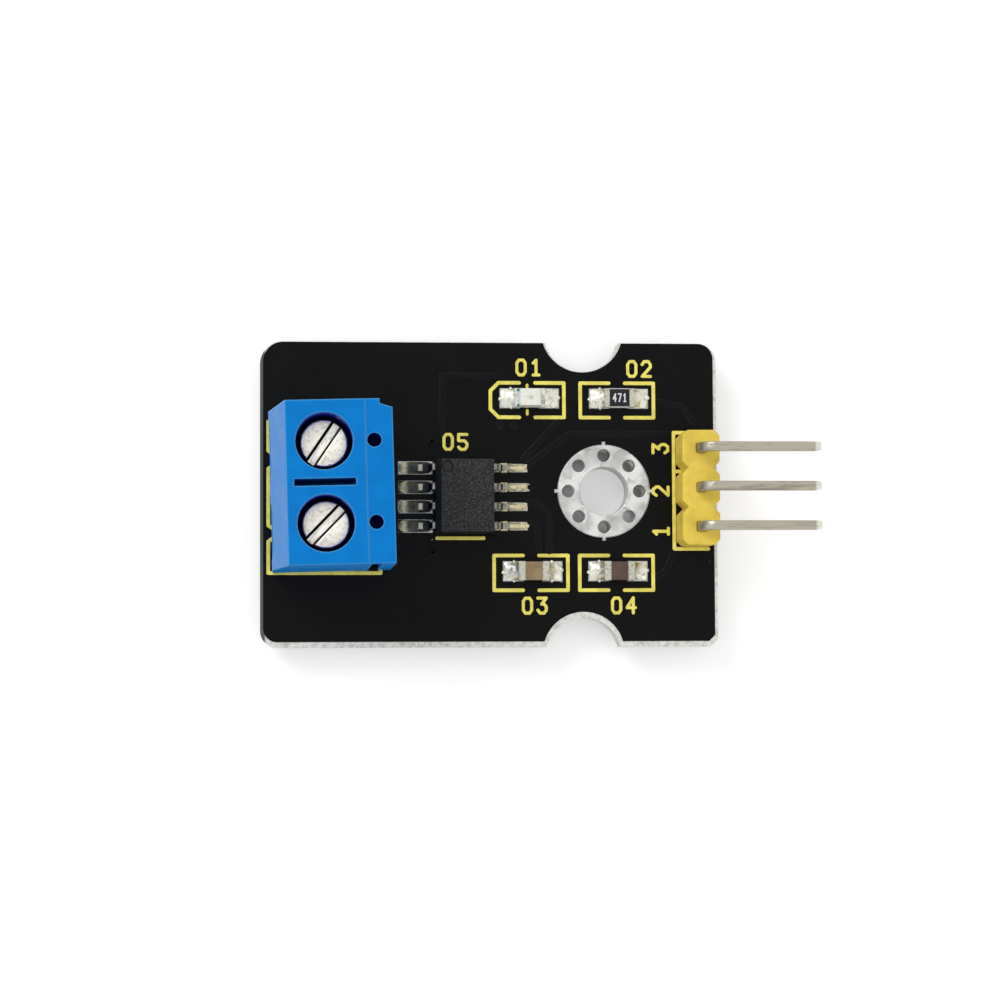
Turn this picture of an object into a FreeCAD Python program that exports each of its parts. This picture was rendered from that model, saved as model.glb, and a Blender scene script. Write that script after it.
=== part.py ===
import FreeCAD, Part
import os
import re
import Sketcher

# Hall effect current sensor on a small circuit board, in millimetres.
# The origin is the centre of the mounting hole on the underside of the board.
# X runs from the screw terminal to the pin header, Z is up, away from the board's underside.

SIZES = [
    ("board_length", 30.0, "circuit board, along X"),
    ("board_width", 20.0, "circuit board, along Y"),
    ("board_thickness", 1.6, "glass fibre laminate"),
    ("hole_from_left", 22.5, "mounting hole to the board's left edge"),
    ("hole_from_front", 10.22, "mounting hole to the board's front edge"),
    ("corner_back_left", 1.5, "corner radius"),
    ("corner_back_right", 1.2, "corner radius"),
    ("corner_front_left", 1.1, "corner radius"),
    ("corner_front_right", 0.5, "corner chamfer"),
    ("notch_radius", 2.5, "half-round notch in each long edge"),
    ("notch_setback", 1.38, "notch centre, left of the mounting hole"),
    ("notch_overhang", 0.57, "notch centre, beyond the edge"),
    ("mounting_hole", 3.2, "diameter of the plain hole"),
    ("copper", 0.05, "thickness of the copper with its tin"),
    ("mask", 0.03, "thickness of the solder mask"),
    ("mask_margin", 0.2, "bare rim of laminate round the mask"),
    ("mask_shift", 0.17, "misregistration of the mask towards the back"),
    ("mask_gap", 0.04, "mask opening beyond each pad"),
    ("ring_outside", 6.05, "diameter of the copper ring"),
    ("spoke_width", 0.16, "tab that joins the ring to the ground copper"),
    ("spoke_length", 0.2, "tab beyond the ring"),
    ("via_circle", 4.7, "diameter of the circle of vias"),
    ("via_bore", 0.83, "open diameter of a via"),
    ("via_count", 8, "vias in the ring"),
    ("plating", 0.03, "wall of a plated hole"),
    ("chip_x", -9.23, "centre of the sensor chip"),
    ("chip_y", -0.4, "centre of the sensor chip"),
    ("chip_pitch", 1.27, "lead pitch"),
    ("chip_width", 3.9, "moulding, along X"),
    ("chip_length", 4.9, "moulding, along Y"),
    ("chip_height", 1.5, "moulding"),
    ("chip_standoff", 0.12, "moulding above the pads"),
    ("chip_draft", 0.1, "inset of the moulding's top and bottom faces"),
    ("chip_bevel", 0.3, "width of the bevel along the first leads"),
    ("dimple_radius", 0.34, "moulded mark beside the first lead"),
    ("dimple_inset_x", 0.8, "mark from the moulding's left side"),
    ("dimple_inset_y", 0.57, "mark from the moulding's back end"),
    ("dimple_depth", 0.08, "moulded mark"),
    ("lead_span", 6.0, "toe to toe"),
    ("lead_width", 0.42, "lead"),
    ("lead_gauge", 0.2, "sheet that the leads are cut from"),
    ("lead_level", 0.8, "middle of the lead frame above the pads"),
    ("foot_length", 0.75, "flat foot of a lead"),
    ("loop_reach", 0.3, "turn of the current loop, right of the chip's centre"),
    ("loop_slot", 0.5, "gap between the loop's two arms"),
    ("loop_turn", 0.55, "width of the loop's turn"),
    ("die_width", 1.4, "Hall die, along X"),
    ("die_length", 2.4, "Hall die, along Y"),
    ("die_height", 0.28, "Hall die"),
    ("die_offset", 0.55, "Hall die, right of the chip's centre"),
    ("bump_height", 0.06, "solder bump between lead and die"),
    ("bump_radius", 0.1, "solder bump"),
    ("lead_gather", 0.45, "share of the pitch that the leads' inner ends keep"),
    ("heavy_pad_toe", 1.26, "current pad beyond the toe of its lead"),
    ("signal_pad_toe", 1.16, "signal pad beyond the toe of its lead"),
    ("pad_inner", 2.05, "inner end of the chip's pads from its centre"),
    ("heavy_pad_width", 0.8, "current pad"),
    ("signal_pad_width", 0.48, "signal pad"),
    ("lamp_x", -4.88, "centre of the indicator lamp"),
    ("back_row_y", 6.1, "centre line of lamp and resistor"),
    ("resistor_x", 1.02, "centre of the resistor"),
    ("capacitor_left_x", -4.72, "centre of the left capacitor"),
    ("capacitor_right_x", 0.9, "centre of the right capacitor"),
    ("front_row_y", -5.26, "centre line of the capacitors"),
    ("land_span", 3.85, "a component's two pads, end to end"),
    ("land_width", 1.25, "pad of a component"),
    ("land_gap", 1.3, "between a component's two pads"),
    ("part_length", 2.0, "small component"),
    ("part_width", 1.25, "small component"),
    ("cap_wall", 0.03, "metal end of a small component"),
    ("cap_length", 0.4, "metal end of a small component"),
    ("resistor_height", 0.5, "resistor"),
    ("coat_height", 0.03, "black glass on the resistor"),
    ("coat_length", 1.3, "black glass on the resistor"),
    ("coat_width", 1.13, "black glass on the resistor"),
    ("capacitor_height", 0.85, "capacitor"),
    ("capacitor_cap", 0.45, "metal end of a capacitor"),
    ("lamp_base", 0.35, "substrate of the lamp"),
    ("lens_length", 1.5, "lens of the lamp at its foot"),
    ("lens_height", 0.5, "lens of the lamp"),
    ("lens_draft", 0.08, "inset of the lens at its top"),
    ("lamp_die", 0.26, "light-emitting die, side"),
    ("lamp_die_height", 0.12, "light-emitting die"),
    ("solder_rise", 0.42, "fillet against a component's end"),
    ("solder_width", 1.1, "fillet of a component"),
    ("header_x", 6.0, "row of header pins"),
    ("header_y", 0.06, "middle header pin"),
    ("header_pitch", 2.54, "header"),
    ("header_count", 3, "header"),
    ("header_width", 2.45, "header plastic, along X"),
    ("header_height", 2.54, "header plastic"),
    ("header_trim", 0.08, "end segments shorter than the pitch"),
    ("header_notch", 0.42, "depth of the notch between two segments"),
    ("pin_size", 0.6, "square header pin"),
    ("pin_tail", 1.5, "all tails below the board"),
    ("pin_level", 3.8, "middle of the bent pins above the board"),
    ("pin_reach", 7.56, "pin tips beyond the row"),
    ("pin_bend", 0.4, "inner radius of the bend"),
    ("pin_point", 0.28, "length of the tapered tip"),
    ("pin_blunt", 0.07, "inset of the tapered tip"),
    ("header_hole", 1.0, "plated hole of a header pin"),
    ("header_land", 1.7, "pad of a header pin"),
    ("terminal_x", -18.4, "row of terminal screws"),
    ("terminal_y", -0.25, "middle of the terminal"),
    ("terminal_pitch", 5.0, "terminal"),
    ("terminal_skew", 1.4, "turn of the terminal within its hole clearance, degrees"),
    ("terminal_width", 10.05, "terminal housing, along Y"),
    ("terminal_front", 3.4, "wire side from the screw row"),
    ("terminal_rear", 4.2, "rear side from the screw row"),
    ("terminal_height", 10.0, "terminal housing"),
    ("bevel_run", 1.06, "sloping wire side, at the top"),
    ("bevel_start", 3.9, "sloping wire side starts above the base"),
    ("well_diameter", 3.5, "screw well"),
    ("slit_length", 3.75, "slit between the wells"),
    ("slit_width", 0.43, "slit between the wells"),
    ("slit_depth", 3.5, "slit between the wells"),
    ("probe_hole", 0.87, "small rear hole"),
    ("probe_setback", 3.05, "small rear hole from the screw row"),
    ("probe_depth", 3.0, "small rear hole"),
    ("step_setback", 2.54, "faint step in the top from the screw row"),
    ("step_depth", 0.06, "faint step in the top"),
    ("dovetail_start", 3.42, "dovetail from the screw row"),
    ("dovetail_depth", 0.3, "dovetail recess at the housing's back end"),
    ("dovetail_slant", 0.25, "dovetail slope over its length"),
    ("groove_width", 0.68, "groove in the housing's front end"),
    ("groove_depth", 0.4, "groove in the housing's front end"),
    ("groove_stop", 0.4, "groove ends below the top"),
    ("entry_width", 3.0, "wire entry"),
    ("entry_sill", 0.95, "wire entry above the base"),
    ("entry_height", 3.3, "wire entry"),
    ("funnel", 0.35, "bevel round the wire entry"),
    ("cage_width", 3.8, "brass cage, along Y"),
    ("cage_front", 2.3, "cage front from the screw axis"),
    ("cage_rear", 1.9, "cage rear from the screw axis"),
    ("cage_sill", 0.7, "underside of the cage above the base"),
    ("cage_height", 4.4, "cage"),
    ("cage_wall", 0.5, "cage"),
    ("cage_top", 0.9, "threaded top of the cage"),
    ("cage_play", 0.05, "cage in its pocket"),
    ("cage_corner", 0.25, "outer bend radius of the cage"),
    ("tail_width", 1.0, "terminal tail, along Y"),
    ("tail_gauge", 0.8, "terminal tail, along X"),
    ("terminal_hole", 1.5, "plated hole of a terminal tail"),
    ("terminal_land", 2.4, "pad of a terminal tail"),
    ("screw_thread", 2.5, "screw"),
    ("thread_play", 0.05, "radial clearance of the screw in the cage"),
    ("head_diameter", 2.92, "screw head"),
    ("head_height", 1.2, "screw head"),
    ("head_drop", 1.6, "screw head below the housing's top"),
    ("head_chamfer", 0.12, "screw head"),
    ("tip_chamfer", 0.3, "screw tip"),
    ("slot_width", 0.6, "screwdriver slot"),
    ("slot_depth", 0.7, "screwdriver slot"),
    ("slot_angle_back", 56.0, "slot of the back screw from X, degrees"),
    ("slot_angle_front", 46.0, "slot of the front screw from X, degrees"),
    ("guard_width", 2.4, "wire guard"),
    ("guard_gauge", 0.25, "wire guard"),
    ("guard_level", 3.75, "underside of the wire guard above the base"),
    ("guard_gap", 0.05, "screw tip above the wire guard"),
    ("guard_lip", 0.45, "upturned front edge of the wire guard"),
    ("guard_front", 0.3, "wire guard beyond the cage's front"),
    ("guard_rear", 0.4, "wire guard short of the cage's rear"),
    ("joint_cone", 0.9, "solder cone below a pad"),
    ("joint_neck", 0.12, "solder round a tail at the cone's end"),
]

ALIASES = {alias for alias, value, meaning in SIZES}
PLANE_XY = "XY_Plane"
PLANE_XZ = "XZ_Plane"
PLANE_YZ = "YZ_Plane"

document = FreeCAD.newDocument("current_sensor")
sheet = document.addObject("Spreadsheet::Sheet", "Sizes")
nodes = []


def fill_sheet():
    """Write every size into the sheet under its own alias."""
    for row, (alias, value, meaning) in enumerate(SIZES, 1):
        sheet.set(f"A{row}", meaning)
        sheet.set(f"B{row}", str(value))
        sheet.setAlias(f"B{row}", alias)
    document.recompute()


def formula(text):
    """Point the names of sizes in a formula at their cells in the sheet."""
    return re.sub(r"[a-z]\w*", lambda word: "Sizes." * (word.group() in ALIASES) + word.group(), text)


def amount(text):
    """Number that a formula gives now."""
    return float(sheet.evalExpression(formula(text)))


def bind(piece, name, text):
    """Tie a property to a formula."""
    piece.setExpression(name, formula(text))


def place(piece, x="0", y="0", z="0", turn=None):
    """Tie a piece's place, and its turn about Z, to formulas."""
    for axis, text in zip("xyz", (x, y, z)):
        bind(piece, "Placement.Base." + axis, text)
    if turn:
        bind(piece, "Placement.Rotation.Angle", turn)


def keep(piece, name):
    """Make a piece one of the model's sub-parts."""
    piece.Label = name
    nodes.append(piece)
    return piece


# Solid primitives and their combinations

def block(name, size, corner):
    """Box from its low corner."""
    piece = document.addObject("Part::Box", name)
    for side, text in zip(("Length", "Width", "Height"), size):
        bind(piece, side, text)
    place(piece, *corner)
    return piece


def middle_block(name, size, centre, base):
    """Box centred on a point in plan, standing on a base level."""
    corner = [f"{at} - ({side}) / 2" for at, side in zip(centre, size)]
    return block(name, size, (*corner, base))


def rod(name, radius, height, centre, base):
    """Upright cylinder standing on a base level."""
    piece = document.addObject("Part::Cylinder", name)
    bind(piece, "Radius", radius)
    bind(piece, "Height", height)
    place(piece, *centre, base)
    return piece


def octagon(name, across, height, centre, base):
    """Upright eight-sided prism, given across its flats."""
    piece = document.addObject("Part::Prism", name)
    piece.Polygon = 8
    bind(piece, "Circumradius", f"({across}) / 2 / cos(22.5)")
    bind(piece, "Height", height)
    place(piece, *centre, base, turn="22.5")
    return piece


def cone(name, low_radius, high_radius, height, centre, base):
    """Upright cone standing on a base level."""
    piece = document.addObject("Part::Cone", name)
    bind(piece, "Radius1", low_radius)
    bind(piece, "Radius2", high_radius)
    bind(piece, "Height", height)
    place(piece, *centre, base)
    return piece


def frustum(name, size, inset, centre, base, inverted=False):
    """Block whose far face is smaller all round, standing on a base level or hanging from it."""
    piece = document.addObject("Part::Wedge", name)
    length, width, height = size
    for end, sign in (("min", "-"), ("max", "")):
        bind(piece, "X" + end, f"{sign}({length}) / 2")
        bind(piece, "Z" + end, f"{sign}({width}) / 2")
        bind(piece, "X2" + end, f"{sign}(({length}) / 2 - {inset})")
        bind(piece, "Z2" + end, f"{sign}(({width}) / 2 - {inset})")
    bind(piece, "Ymin", "0")
    bind(piece, "Ymax", height)
    piece.Placement.Rotation = FreeCAD.Rotation(Vector(1, 0, 0), -90 if inverted else 90)
    place(piece, *centre, base)
    return piece


def cut(name, base, tool):
    """First solid with the second taken out."""
    piece = document.addObject("Part::Cut", name)
    piece.Base = base
    piece.Tool = tool
    return piece


def fuse(name, pieces):
    """One solid from several that meet."""
    piece = document.addObject("Part::MultiFuse", name)
    piece.Shapes = pieces
    return piece


def gather(name, pieces):
    """Several like solids in one object."""
    piece = document.addObject("Part::Compound", name)
    piece.Links = pieces
    return piece


# Bodies made from sketches

Vector = FreeCAD.Vector


def origin_part(body, role):
    """Plane or axis of a body's own origin."""
    return next(part for part in body.Origin.OriginFeatures if part.Role == role)


def new_body(name):
    """Empty body."""
    body = document.addObject("PartDesign::Body", name)
    body.Label = name
    return body


def new_sketch(body, plane=PLANE_XY, level="0"):
    """Sketch on one of the body's planes, moved along the plane's normal."""
    sketch = body.newObject("Sketcher::SketchObject", "sketch")
    sketch.AttachmentSupport = [(origin_part(body, plane), "")]
    sketch.MapMode = "FlatFace"
    bind(sketch, "AttachmentOffset.Base.z", level)
    return sketch


def hold(sketch, kind, place_on_line, text):
    """Dimension from the sketch's origin, tied to a formula."""
    index = sketch.addConstraint(Sketcher.Constraint(kind, -1, 1, *place_on_line, amount(text)))
    bind(sketch, f"Constraints[{index}]", text)


def draw_polygon(sketch, corners):
    """Closed outline through corners that are each held by two formulas."""
    points = [Vector(amount(x), amount(y), 0) for x, y in corners]
    lines = []
    for start, end in zip(points, points[1:] + points[:1]):
        lines.append(sketch.addGeometry(Part.LineSegment(start, end), False))
    for line, following in zip(lines, lines[1:] + lines[:1]):
        sketch.addConstraint(Sketcher.Constraint("Coincident", line, 2, following, 1))
    for line, (x, y) in zip(lines, corners):
        hold(sketch, "DistanceX", (line, 1), x)
        hold(sketch, "DistanceY", (line, 1), y)


def draw_rectangle(sketch, low, high):
    """Rectangle between two corners."""
    draw_polygon(sketch, [low, (high[0], low[1]), high, (low[0], high[1])])


def draw_circle(sketch, x, y, radius):
    """Circle held by its centre and radius."""
    shape = Part.Circle(Vector(amount(x), amount(y), 0), Vector(0, 0, 1), amount(radius))
    circle = sketch.addGeometry(shape, False)
    hold(sketch, "DistanceX", (circle, 3), x)
    hold(sketch, "DistanceY", (circle, 3), y)
    index = sketch.addConstraint(Sketcher.Constraint("Radius", circle, amount(radius)))
    bind(sketch, f"Constraints[{index}]", radius)


def draw_octagon(sketch, x, y, across):
    """Octagon round a centre, given across its flats."""
    radius = f"({across}) / 2 / cos(22.5)"
    corners = []
    for turn in range(8):
        angle = f"(22.5 + 45 * {turn})"
        corners.append((f"{x} + {radius} * cos({angle})", f"{y} + {radius} * sin({angle})"))
    draw_polygon(sketch, corners)


def pad(body, sketch, length, symmetric=False):
    """Pad a sketch along its normal, or evenly to both sides."""
    feature = body.newObject("PartDesign::Pad", "pad")
    feature.Profile = sketch
    bind(feature, "Length", length)
    if symmetric:
        feature.SideType = "Symmetric"
    return feature


def pocket(body, sketch, depth, symmetric=False, upward=False):
    """Pocket a sketch against its normal, with it, or evenly to both sides."""
    feature = body.newObject("PartDesign::Pocket", "pocket")
    feature.Profile = sketch
    feature.Reversed = upward
    bind(feature, "Length", depth)
    if symmetric:
        feature.SideType = "Symmetric"
    return feature


def revolve(body, sketch):
    """Turn a sketch once round the body's Z axis."""
    feature = body.newObject("PartDesign::Revolution", "turning")
    feature.Profile = sketch
    feature.ReferenceAxis = (origin_part(body, "Z_Axis"), [""])
    feature.Angle = 360
    return feature


def row_of(body, features, pitch, count):
    """Repeat features along the body's Y axis."""
    pattern = body.newObject("PartDesign::LinearPattern", "row")
    pattern.Originals = features
    pattern.Direction = (origin_part(body, "Y_Axis"), [""])
    bind(pattern, "Length", f"{pitch} * ({count} - 1)")
    bind(pattern, "Occurrences", count)
    body.Tip = pattern
    return pattern


def ring_of(body, features, count):
    """Repeat features round the body's Z axis."""
    pattern = body.newObject("PartDesign::PolarPattern", "ring")
    pattern.Originals = features
    pattern.Axis = (origin_part(body, "Z_Axis"), [""])
    pattern.Angle = 360
    bind(pattern, "Occurrences", count)
    body.Tip = pattern
    return pattern


def edges_where(feature, test):
    """Names of a feature's edges whose middle passes a test."""
    document.recompute()
    edges = enumerate(feature.Shape.Edges, 1)
    return [f"Edge{number}" for number, edge in edges if test(edge)]


def near(first, second):
    """Whether two lengths are the same."""
    return abs(first - second) < 1e-4


def upright_at(x, y):
    """Test for the upright edge at a point in plan."""
    return lambda edge: near(edge.CenterOfMass.x, x) and near(edge.CenterOfMass.y, y)


def across_at(x, z):
    """Test for the edge along Y that passes through a point in side view."""
    return lambda edge: near(edge.CenterOfMass.x, x) and near(edge.CenterOfMass.z, z)


def round_edges(body, feature, edges, radius):
    """Fillet on some of a feature's edges."""
    fillet = body.newObject("PartDesign::Fillet", "fillet")
    fillet.Base = (feature, edges)
    bind(fillet, "Radius", radius)
    return fillet


def bevel_edges(body, feature, edges, size):
    """Equal chamfer on some of a feature's edges."""
    chamfer = body.newObject("PartDesign::Chamfer", "chamfer")
    chamfer.Base = (feature, edges)
    bind(chamfer, "Size", size)
    return chamfer


# Levels and edges that several pieces share

BOARD_LEFT = "(-hole_from_left)"
BOARD_RIGHT = "(board_length - hole_from_left)"
BOARD_FRONT = "(-hole_from_front)"
BOARD_BACK = "(board_width - hole_from_front)"
PAD_TOP = "(board_thickness + copper)"
MASK_TOP = "(board_thickness + mask)"
HEAVY_REACH = "(lead_span / 2 + heavy_pad_toe)"
SIGNAL_REACH = "(lead_span / 2 + signal_pad_toe)"
NOTCH_X = "(-notch_setback)"
NOTCH_FRONT = f"({BOARD_FRONT} - notch_overhang)"
NOTCH_BACK = f"({BOARD_BACK} + notch_overhang)"
BACK = 1
FRONT = -1


def header_pin_y(number):
    """Y of a header pin, counted from the front."""
    return f"(header_y + header_pitch * ({number} - (header_count - 1) / 2))"


def terminal_hole_y(side):
    """Y of a terminal hole on the board, which isn't skewed."""
    return f"(terminal_y + {side} * terminal_pitch / 2)"


def place_in_terminal(piece, side=0, level=MASK_TOP, turn="terminal_skew"):
    """Put a piece of the skewed terminal on its middle or on one of its screw axes."""
    x = f"terminal_x - {side} * terminal_pitch / 2 * sin(terminal_skew)"
    y = f"terminal_y + {side} * terminal_pitch / 2 * cos(terminal_skew)"
    place(piece, x, y, level, turn)


# The board with its mask and copper

def outline_corners(margin, shift):
    """Plan corners of the board, or of the mask inside its margin."""
    left = f"{BOARD_LEFT} + {margin}"
    right = f"{BOARD_RIGHT} - {margin}"
    front = f"{BOARD_FRONT} + {margin} + {shift}"
    back = f"{BOARD_BACK} - {margin} + {shift}"
    return left, right, front, back


def shape_outline(body, feature, margin, shift):
    """Round three corners of a plate and chamfer the fourth."""
    left, right, front, back = [amount(text) for text in outline_corners(margin, shift)]
    rounded = [
        (left, back, "corner_back_left"),
        (right, back, "corner_back_right"),
        (left, front, "corner_front_left"),
    ]
    for x, y, radius in rounded:
        feature = round_edges(body, feature, edges_where(feature, upright_at(x, y)), f"{radius} - {margin}")
    corner = edges_where(feature, upright_at(right, front))
    return bevel_edges(body, feature, corner, f"corner_front_right - {margin} / 2")


def plate(name, level, thickness, margin, shift):
    """Flat plate in the board's outline."""
    body = new_body(name)
    left, right, front, back = outline_corners(margin, shift)
    sketch = new_sketch(body, PLANE_XY, level)
    draw_rectangle(sketch, (left, front), (right, back))
    shape_outline(body, pad(body, sketch, thickness), margin, shift)
    return body


def draw_notches(sketch, margin, shift):
    """Circles of the two half-round notches."""
    for y in (NOTCH_FRONT, NOTCH_BACK):
        draw_circle(sketch, NOTCH_X, f"{y} + {shift}", f"notch_radius + {margin}")


def make_circuit_board():
    """Laminate with its notches, mounting hole and drilled holes."""
    body = plate("circuit_board", "0", "board_thickness", "0", "0")
    large = new_sketch(body, PLANE_XY, "board_thickness")
    draw_circle(large, "0", "0", "mounting_hole / 2")
    draw_notches(large, "0", "0")
    pocket(body, large, "board_thickness")
    tails = new_sketch(body, PLANE_XY, "board_thickness")
    for side in (FRONT, BACK):
        draw_circle(tails, "terminal_x", terminal_hole_y(side), "terminal_hole / 2 + plating")
    pocket(body, tails, "board_thickness")
    first_pin = new_sketch(body, PLANE_XY, "board_thickness")
    draw_circle(first_pin, "header_x", header_pin_y(0), "header_hole / 2 + plating")
    row_of(body, [pocket(body, first_pin, "board_thickness")], "header_pitch", "header_count")
    first_via = new_sketch(body, PLANE_XY, "board_thickness")
    draw_circle(first_via, "0", "via_circle / 2", "via_bore / 2 + plating")
    ring_of(body, [pocket(body, first_via, "board_thickness")], "via_count")
    return keep(body, "circuit_board")


def chip_rows():
    """Y of the chip's leads, from the back, where the first lead is."""
    return [f"(chip_y + chip_pitch * {step})" for step in (1.5, 0.5, -0.5, -1.5)]


def component_places():
    """Plan centres of the small components."""
    return [
        ("lamp_x", "back_row_y"),
        ("resistor_x", "back_row_y"),
        ("capacitor_left_x", "front_row_y"),
        ("capacitor_right_x", "front_row_y"),
    ]


def land_centre(x, side):
    """X of a component's left or right pad."""
    return f"{x} + {side} * (land_span + land_gap) / 4"


LAND_LENGTH = "(land_span - land_gap) / 2"


def solder_mask(name, level, with_lands):
    """Thin black skin on one face of the board, open at every pad."""
    body = plate(name, level, "mask", "mask_margin", "mask_shift")
    openings = new_sketch(body, PLANE_XY, f"{level} + mask")
    draw_circle(openings, "0", "0", "ring_outside / 2 + mask_gap")
    draw_notches(openings, "mask_margin", "mask_shift")
    for number in range(int(amount("header_count"))):
        draw_octagon(openings, "header_x", header_pin_y(number), "header_land + 2 * mask_gap")
    for side in (FRONT, BACK):
        draw_octagon(openings, "terminal_x", terminal_hole_y(side), "terminal_land + 2 * mask_gap")
    pocket(body, openings, "mask")
    spokes = new_sketch(body, PLANE_XY, f"{level} + mask")
    reach = "(ring_outside / 2 + spoke_length + mask_gap)"
    half = "(spoke_width / 2 + mask_gap)"
    draw_polygon(spokes, [
        (f"-{half}", f"-{reach}"), (half, f"-{reach}"), (half, f"-{half}"), (reach, f"-{half}"),
        (reach, half), (half, half), (half, reach), (f"-{half}", reach),
        (f"-{half}", half), (f"-{reach}", half), (f"-{reach}", f"-{half}"), (f"-{half}", f"-{half}"),
    ])
    pocket(body, spokes, "mask")
    if with_lands:
        open_lands(body, level)
    return keep(body, name)


def open_lands(body, level):
    """Openings of the mask over the pads of the chip and of the small components."""
    sketch = new_sketch(body, PLANE_XY, f"{level} + mask")
    for y in chip_rows():
        for side, reach, width in ((-1, HEAVY_REACH, "heavy_pad_width"),
                                   (1, SIGNAL_REACH, "signal_pad_width")):
            ends = [f"chip_x + {side} * ({reach} + mask_gap)", f"chip_x + {side} * (pad_inner - mask_gap)"]
            low, high = ends[::side * -1]
            half = f"({width} / 2 + mask_gap)"
            draw_rectangle(sketch, (low, f"{y} - {half}"), (high, f"{y} + {half}"))
    half = "(land_width / 2 + mask_gap)"
    length = f"({LAND_LENGTH} / 2 + mask_gap)"
    for x, y in component_places():
        for side in (-1, 1):
            middle = land_centre(x, side)
            draw_rectangle(sketch, (f"{middle} - {length}", f"{y} - {half}"),
                           (f"{middle} + {length}", f"{y} + {half}"))
    pocket(body, sketch, "mask")


def make_mounting_ring():
    """Copper ring on both faces of the board, joined by the walls of its vias."""
    body = new_body("mounting_ring")
    for level in ("board_thickness", "-copper"):
        sketch = new_sketch(body, PLANE_XY, level)
        draw_circle(sketch, "0", "0", "ring_outside / 2")
        draw_circle(sketch, "0", "0", "mounting_hole / 2")
        pad(body, sketch, "copper")
        if level == "board_thickness":
            wall = new_sketch(body, PLANE_XY, "0")
            draw_circle(wall, "0", "via_circle / 2", "via_bore / 2 + plating")
            ring_of(body, [pad(body, wall, "board_thickness")], "via_count")
    bores = new_sketch(body, PLANE_XY, PAD_TOP)
    draw_circle(bores, "0", "via_circle / 2", "via_bore / 2")
    ring_of(body, [pocket(body, bores, "board_thickness + 2 * copper")], "via_count")
    for level in ("board_thickness", "-copper"):
        spoke = new_sketch(body, PLANE_XY, level)
        start = "via_circle / 2 + via_bore / 2 + plating"
        draw_rectangle(spoke, (start, "-spoke_width / 2"),
                       ("ring_outside / 2 + spoke_length", "spoke_width / 2"))
        ring_of(body, [pad(body, spoke, "copper")], "4")
    return keep(body, "mounting_ring")


def make_chip_pads():
    """Four wide pads with a rounded end for the current and four narrow ones for the signals."""
    pads = []
    for number, y in enumerate(chip_rows()):
        length = f"{HEAVY_REACH} - pad_inner"
        if number == 0:
            corner = (f"chip_x - {HEAVY_REACH}", f"{y} - heavy_pad_width / 2", "board_thickness")
            pads.append(block("heavy_pad", (length, "heavy_pad_width", "copper"), corner))
        else:
            end = (f"chip_x - {HEAVY_REACH} + heavy_pad_width / 2", y)
            corner = (end[0], f"{y} - heavy_pad_width / 2", "board_thickness")
            size = (f"{length} - heavy_pad_width / 2", "heavy_pad_width", "copper")
            straight = block("heavy_pad_straight", size, corner)
            rounded = rod("heavy_pad_end", "heavy_pad_width / 2", "copper", end, "board_thickness")
            pads.append(fuse("heavy_pad", [straight, rounded]))
        corner = ("chip_x + pad_inner", f"{y} - signal_pad_width / 2", "board_thickness")
        size = (f"{SIGNAL_REACH} - pad_inner", "signal_pad_width", "copper")
        pads.append(block("signal_pad", size, corner))
    return keep(gather("chip_pads", pads), "chip_pads")


def make_component_pads():
    """Two pads under each small component."""
    pads = []
    for x, y in component_places():
        for side in (-1, 1):
            size = (LAND_LENGTH, "land_width", "copper")
            pads.append(middle_block("land", size, (land_centre(x, side), y), "board_thickness"))
    return keep(gather("component_pads", pads), "component_pads")


def plated_hole(name, x, y, land, hole):
    """Octagonal lands on both faces and the plated wall between them."""
    top = octagon(name + "_top", land, "copper", (x, y), "board_thickness")
    bottom = octagon(name + "_bottom", land, "copper", (x, y), "-copper")
    wall = rod(name + "_wall", f"{hole} / 2 + plating", "board_thickness", (x, y), "0")
    bore = rod(name + "_bore", f"{hole} / 2", "board_thickness + 2 * copper", (x, y), "-copper")
    return cut(name, fuse(name + "_blank", [top, bottom, wall]), bore)


def make_header_pads():
    """Plated holes of the header pins."""
    count = int(amount("header_count"))
    holes = [plated_hole("header_plating", "header_x", header_pin_y(number), "header_land", "header_hole")
             for number in range(count)]
    return keep(gather("header_pads", holes), "header_pads")


def make_terminal_pads():
    """Plated holes of the terminal tails."""
    holes = [plated_hole("terminal_plating", "terminal_x", terminal_hole_y(side), "terminal_land",
                         "terminal_hole") for side in (BACK, FRONT)]
    return keep(gather("terminal_pads", holes), "terminal_pads")


# The sensor chip

FRAME_LOW = "(lead_level - lead_gauge / 2)"
FRAME_TOP = "(lead_level + lead_gauge / 2)"


def gull_wing(body, side, inner, y):
    """Lead bent down from the moulding to a flat foot, from its inner end outwards."""
    sketch = new_sketch(body, PLANE_XZ, f"-({y})")
    toe = f"{side} * lead_span / 2"
    heel = f"{side} * (lead_span / 2 - foot_length)"
    shoulder = f"{side} * (lead_span / 2 - foot_length - lead_gauge)"
    slant = f"{side} * lead_gauge / 2"
    draw_polygon(sketch, [
        (f"{side} * ({inner})", FRAME_TOP), (f"{side} * ({inner})", FRAME_LOW),
        (f"{shoulder} - {slant}", FRAME_LOW), (f"{heel} - {slant}", "0"), (toe, "0"),
        (toe, "lead_gauge"), (f"{heel} + {slant} / 2", "lead_gauge"),
        (f"{shoulder} + {slant} / 2", FRAME_TOP),
    ])
    return pad(body, sketch, "lead_width", symmetric=True)


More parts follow.
